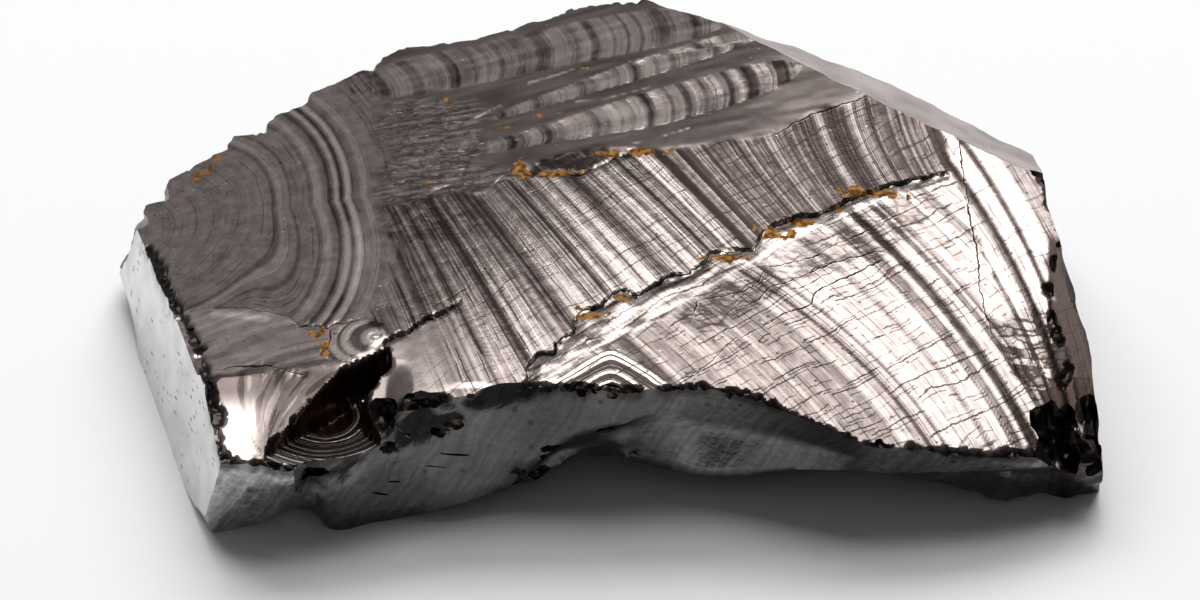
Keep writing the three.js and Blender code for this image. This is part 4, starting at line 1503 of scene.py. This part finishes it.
def specks():
    """Small dark pits and painted glints, scattered thinly."""
    f, given, out = effect("Specks", dict(Scale="number"), dict(Dark="number", Bright="number"))
    cells = f.cells(f.here((1, 1.4, 1)), given["Scale"])
    dark, bright, _ = f.picks(cells["Color"])
    dot = f.ramp(cells["Distance"], 0.1, 0.24, 1, 0)
    f.put(out["Dark"], f.times(dot, f.ramp(dark, 0.8, 0.85, 0, 1)))
    f.put(out["Bright"], f.times(dot, f.ramp(bright, 0.93, 0.96, 0, 1)))
    return f.tree


def glassy(f, colour, roughness, height, depth):
    """The shader that every finish ends in: black glass with a metallic shine."""
    shader = f.add("ShaderNodeBsdfPrincipled")
    bump = f.add("ShaderNodeBump")
    bump.inputs["Distance"].default_value = depth * MM
    f.put(bump.inputs["Height"], height)
    f.put(shader.inputs["Base Color"], colour)
    f.put(shader.inputs["Roughness"], roughness)
    f.put(shader.inputs["Normal"], bump.outputs[0])
    shader.inputs["Metallic"].default_value = 0.92
    f.put(f.add("ShaderNodeOutputMaterial").inputs["Surface"], shader.outputs[0])


def new_finish(name):
    material = bpy.data.materials.new(name)
    material.use_nodes = True
    material.node_tree.nodes.clear()
    return material, Finish(material.node_tree)


# ------------------------------------------------------------------ the rippled top's finish

def band_tone(f):
    """The shaped bands' painted light and shade, in even steps, over the veil's painted light and
    shade.
    """
    lift, steps = f.read("lift"), BAND_STEPS
    blur, rise = steps["blur"], steps["rise"]
    stepped = f.plus(*(f.ramp(lift, at - blur, at + blur, 0, rise) for at in steps["at"]))
    middle = rise * len(steps["at"]) / 2
    banded = f.plus(f.minus(stepped, middle), f.times(lift, 0.2))
    return f.plus(f.times(banded, 0.55), f.read("veil"))


# Painted light and dark chevrons where the bands fold at the hairpin.
def hairpin_tone(f):
    folds = f.noise(2.6, 1.0, along=f.read_parts("rings_right")[2])
    return f.times(f.ramp(folds, 0.44, 0.56, -0.9, 0.9), f.read("hairpin"))


def pocket_tone(f):
    """Painted highlights on the risers between the pocket's darker steps."""
    radius, on_steps, _ = f.read_parts("pocket_steps")
    risers = f.ramp(f.noise(3.6, 2.0, along=radius, rough=0.6), 0.47, 0.6, -0.9, 1.5)
    return f.times(risers, on_steps)


def fine_tone(f, effects, shares):
    """The painted light and shade of every field's fine ripples, and their dark hairlines."""
    tone, lines = 0.0, 0.0
    rings = f.read_parts("rings_left") + f.read_parts("rings_right")[:2]
    for ring, share, weight in zip(rings, shares, FINE_RIPPLES):
        part = f.group(effects["ripples"], Ring=ring, Share=share)
        tone = f.plus(tone, f.times(part["Tone"], weight))
        lines = f.plus(lines, f.times(part["Line"], weight + 0.3))
    return tone, lines


def open_crack(f):
    """The open cracks' black lines of painted shade, and the painted highlight of a lip on one side of
    each.
    """
    offset, half, strength = f.read_parts("crack")
    ragged = f.ramp(f.noise(2.4, 3.0, f.here(), rough=0.6), 0.25, 0.75, -0.06, 0.06)
    offset = f.plus(offset, ragged)
    past_edge = f.minus(f.calc("ABSOLUTE", offset), half)
    crack = f.times(f.ramp(past_edge, 0, 0.04, 1, 0), strength)
    painted_lip = f.times(f.ramp(past_edge, 0.05, 0.12, 1, 0), f.ramp(offset, -0.05, 0, 1, 0), strength)
    return crack, painted_lip


def top_tone(f, effects, mottle, lively, painted_lip):
    """The top's painted light and shade: about -1 for painted shadow, 1 for silver and 2 for a painted
    glint.
    """
    shares = f.read_parts("share_left") + f.read_parts("share_right")
    fan, plate, apron, shear, _, shattered = shares
    fine, hairlines = fine_tone(f, effects, shares[:5])
    across = f.plus(apron, f.times(shear, 0.5), f.times(plate, 0.6), f.times(fan, 0.15))
    net = f.group(effects["cracks"], Amount=across)["Mask"]
    blocks = f.group(effects["blocks"], Amount=shattered)
    dots = f.group(effects["specks"], Scale=1.7)
    strands = f.group(effects["strands"], Amount=f.read("hackle"))["Tone"]
    patches = f.times(f.ramp(mottle, 0.3, 0.7, -0.15, 0.15), lively)
    ground = f.plus(band_tone(f), hairpin_tone(f), pocket_tone(f), strands, fine, patches)
    # Block tone of their own, with painted glints and the cracks' painted lip highlights.
    bright = f.plus(f.times(blocks["Tone"], 0.8), f.times(dots["Bright"], 0.5), f.times(painted_lip, 0.3))
    net = f.times(f.larger(net, blocks["Mask"]), 0.8)
    dark = f.plus(net, f.times(dots["Dark"], lively, 0.5), hairlines)
    return f.minus(f.plus(ground, bright), dark)


def top_shade(f, tone, crack, stain):
    """From painted shadow through silver to painted white glints, then the cracks and crumbs
    painted dark as shade, the pocket and the ochre.
    """
    shade = f.blend(f.ramp(tone, -1, 1, 0, 1), "painted_ripple_shadow", "painted_ripple_silver")
    # Past silver the tone turns to painted white glints.
    shade = f.blend(f.ramp(tone, 0.8, 1.9, 0, 1), shade, "painted_glint_white")
    # Cracks and crumbled rims are painted near-black as shade.
    dark = f.larger(crack, f.read("crumble"))
    shade = f.blend(f.times(dark, 0.95), shade, "painted_crack_shade")
    brown = f.blend(f.ramp(tone, -1, 0.6, 0, 1), "pocket_dark", "pocket_brown")
    shade = f.blend(f.times(f.read("pocket"), 0.9), shade, brown)
    return f.blend(stain["Mask"], shade, stain["Colour"])


def rippled_break(effects):
    """The top: ripple fields with their light and shade painted in, cracks, ochre and crumbled rims.
    """
    material, f = new_finish("rippled break")
    lively = f.minus(1.0, f.read("calm"))
    mottle = f.noise(1.1, 5.0, f.here(), rough=0.65)
    crack, painted_lip = open_crack(f)
    tone = top_tone(f, effects, mottle, lively, painted_lip)
    stain = f.group(effects["stain"], Amount=f.read("rust"))
    dull = f.times(f.larger(crack, stain["Mask"]), 0.4)
    roughness = f.plus(0.13, dull, f.times(mottle, 0.08))
    height = f.plus(f.times(tone, 0.4), f.times(mottle, 0.4))
    height = f.times(height, f.ramp(lively, 0, 1, 0.3, 1))
    glassy(f, top_shade(f, tone, crack, stain), roughness, height, 0.02)
    return material


# ------------------------------------------------------------------ the other finishes

def right_end(f):
    """1 along the right end, where the finishes paint shade, and 1 on its browner back part, as
    mark_finish() wrote them.
    """
    painted_sheen = f.read("painted_sheen")
    return f.ramp(painted_sheen, -0.2, 0, 1, 0), f.ramp(painted_sheen, END_FRONT, END_BACK, 0, 1)


def torn_edge():
    """Crumbled edges and hollows painted near-black as shade, browner in patches, with a painted
    highlight on the fin.
    """
    material, f = new_finish("torn edge")
    grain = f.noise(1.4, 5.0, f.here(), rough=0.6)
    at_end, at_back = right_end(f)
    shade = f.blend(f.ramp(grain, 0.48, 0.74, 0, 1), "torn_painted_shade", "torn_brown")
    shade = f.blend(f.times(at_end, at_back, 0.9), shade, "hollow_brown")
    shade = f.blend(f.ramp(f.read("painted_sheen"), 1.2, 1.9, 0, 1), shade, "fin_painted_highlight")
    glassy(f, shade, f.ramp(grain, 0.2, 0.8, 0.1, 0.3), grain, 0.04)
    return material


def shoulder_break():
    """The calm facet behind the right rim, a shade warmer than the front and painted paler as painted
    light.
    """
    material, f = new_finish("shoulder break")
    veil = f.noise(0.3, 4.0, f.here((1, 0.5, 1)), rough=0.6)
    shade = f.blend(f.ramp(veil, 0.3, 0.7, 0, 1), "shoulder_painted_dark", "shoulder_pale")
    glassy(f, shade, 0.24, veil, 0.05)
    return material


def fine_hatch(f, veil):
    """Fine lines that lean over the front and bend a little."""
    east, _, up = f.split(f.here())
    across = f.minus(f.times(east, 0.9), f.times(up, 0.55))
    return f.noise(2.1, 1.0, along=f.plus(across, f.times(veil, 2.0)))


def plain_break(effects):
    """The front, back and underside: smooth shells and torn black edges, each facet painted
    lighter or darker by its painted sheen.
    """
    material, f = new_finish("plain break")
    veil = f.noise(0.35, 3.0, f.here())
    grain = f.noise(2.2, 6.0, f.here(), rough=0.65)
    drawn = f.noise(1.4, 4.0, f.here((0.6, 0.6, 1.8)), rough=0.65)
    scored = f.noise(1.0, 4.0, f.here((0.5, 0.5, 4)), rough=0.7)
    hatch = fine_hatch(f, veil)
    uneven = f.times(f.ramp(veil, 0.3, 0.7, 0.8, 1.2), f.ramp(grain, 0.3, 0.7, 0.7, 1.3))
    # Each facet's painted sheen lightens or darkens it, as painted light and shade.
    shade = f.blend(f.times(f.read("painted_sheen"), uneven), "plain_painted_dark", "plain_painted_silver")
    at_end, at_back = right_end(f)
    # The right end painted darker as shade, browner on its back part.
    shade = f.blend(at_end, shade, f.blend(at_back, "end_painted_shade", "end_brown"))
    for marks, start, full, most, paint in (
        (hatch, 0.42, 0.6, 0.3, "hatch_grey"), (scored, 0.52, 0.7, 0.35, "scored_grey"),
        (drawn, 0.52, 0.7, 0.3, "drawn_grey"),
    ):
        shade = f.blend(f.ramp(marks, start, full, 0, most), shade, paint)
    scrapes = f.group(effects["specks"], Scale=0.9)["Dark"]
    shade = f.blend(f.times(scrapes, 0.6), shade, "scrape_black")
    # Crumbled rims painted dark as shade.
    shade = f.blend(f.times(f.read("crumble"), 0.75), shade, "painted_crumb_shade")
    patches = f.ramp(f.noise(0.22, 3.0, f.here()), 0.66, 0.78, 0, 0.6)
    stain = f.group(effects["stain"], Amount=patches)
    shade = f.blend(f.times(stain["Mask"], 0.3), shade, stain["Colour"])
    height = f.plus(f.times(grain, 0.5), f.times(drawn, 0.4), f.times(hatch, 0.5))
    glassy(f, shade, f.ramp(grain, 0.2, 0.8, 0.12, 0.3), height, 0.04)
    return material


def pitted_face():
    """The flat left end: a clean mirror break with rows of drawn-out pits, painted paler than the
    other breaks as painted light.
    """
    material, f = new_finish("pitted face")
    dots = f.cells(f.here((0.6, 0.4, 1.5)), 1.7)["Distance"]
    patch = f.ramp(f.noise(0.28, 2.0, f.here()), 0.45, 0.62, 0, 1)
    pit = f.times(f.ramp(dots, 0.08, 0.22, 1, 0), patch)
    veil = f.noise(0.5, 4.0, f.here())
    shade = f.blend(f.ramp(veil, 0.3, 0.7, 0, 1), "mirror_painted_grey", "mirror_pale")
    shade = f.blend(f.times(pit, 0.8), shade, "pit_grey")
    # Crumbled rims painted darker as shade.
    shade = f.blend(f.times(f.read("crumble"), 0.5), shade, "painted_mirror_crumb_shade")
    roughness = f.plus(0.22, f.times(pit, 0.3))
    glassy(f, shade, roughness, f.minus(f.times(veil, 0.15), pit), 0.06)
    return material


def studio_floor():
    material, f = new_finish("pale floor")
    shader = f.add("ShaderNodeBsdfPrincipled")
    f.put(shader.inputs["Base Color"], "floor_white")
    shader.inputs["Roughness"].default_value = 0.28
    f.put(f.add("ShaderNodeOutputMaterial").inputs["Surface"], shader.outputs[0])
    return material


# ------------------------------------------------------------------ the stone

def make_stone():
    effects = dict(
        ripples=fine_ripples(), stain=iron_stain(), cracks=cross_cracks(), specks=specks(),
        blocks=shattered_blocks(), strands=torn_strands(),
    )
    mesh = break_out({
        "plain": plain_break(effects), "torn": torn_edge(), "left face": pitted_face(),
        "shoulder": shoulder_break(), "top": rippled_break(effects),
    })
    largest_part(mesh)
    mark_finish(mesh)
    trim_to_solid(mesh)
    shade_facets(mesh)
    mesh.name = "shungite_stone"
    stone = bpy.data.objects.new(mesh.name, mesh)
    bpy.context.collection.objects.link(stone)
    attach(stone, "root")
    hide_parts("stone")


# ------------------------------------------------------------------ floor, light and camera

def lay_floor():
    mesh = bpy.data.meshes.new("floor")
    half = 6.0
    corners = [(-half, -half, 0), (half, -half, 0), (half, half, 0), (-half, half, 0)]
    mesh.from_pydata(corners, [], [(0, 1, 2, 3)])
    mesh.materials.append(studio_floor())
    floor = bpy.data.objects.new("floor", mesh)
    bpy.context.collection.objects.link(floor)


def softbox(name, bearing, elevation, reach, size, radiance, mirrored=True):
    """A rectangular lamp that faces the stone. Bearing 0 is behind it and 90 is to the right."""
    a, e = math.radians(bearing), math.radians(elevation)
    out = Vector((math.sin(a) * math.cos(e), math.cos(a) * math.cos(e), math.sin(e)))
    lamp = bpy.data.lights.new(name, "AREA")
    lamp.shape, lamp.size, lamp.size_y = "RECTANGLE", size[0], size[1]
    lamp.energy = radiance * math.pi * size[0] * size[1]
    box = bpy.data.objects.new(name, lamp)
    box.location = out * reach
    box.rotation_mode = "QUATERNION"
    box.rotation_quaternion = out.to_track_quat("Z", "Y")
    box.visible_glossy = mirrored
    bpy.context.collection.objects.link(box)


def studio_walls(world):
    """Grey walls behind, dark ones in front."""
    f = Finish(world.node_tree)
    behind = f.split(f.add("ShaderNodeTexCoord").outputs["Generated"])[1]
    background = world.node_tree.nodes["Background"]
    background.inputs["Color"].default_value = (1, 1, 1, 1)
    f.put(background.inputs["Strength"], f.ramp(behind, -0.15, 0.75, 0.08, 0.38))


def light_studio():
    world = bpy.data.worlds.new("studio")
    world.use_nodes = True
    studio_walls(world)
    bpy.context.scene.world = world
    softbox("back softbox", 16, 68, 1.0, (0.66, 0.38), 3.8)
    softbox("floor light", -4, 42, 1.1, (1.3, 0.5), 6.3, mirrored=False)
    bpy.context.scene.view_settings.view_transform = "Standard"


def aim_camera():
    """The stone fills the width, seen from the front and from above."""
    elevation, away = math.radians(VIEW["elevation"]), VIEW["away"]
    target = Vector((-PLAN_MIDDLE[0], -PLAN_MIDDLE[1], VIEW["height"]))
    lens = bpy.data.cameras.new("camera")
    lens.sensor_width = 36
    lens.lens = VIEW["per_mm"] * away * lens.sensor_width / VIEW["width"]
    lens.clip_start, lens.clip_end = 0.01, 10
    camera = bpy.data.objects.new("camera", lens)
    back = Vector((0, -math.cos(elevation), math.sin(elevation)))
    camera.location = (target + back * away) * MM
    camera.rotation_euler = (math.pi / 2 - elevation, 0, 0)
    bpy.context.collection.objects.link(camera)
    bpy.context.scene.camera = camera


make_stone()
lay_floor()
light_studio()
aim_camera()
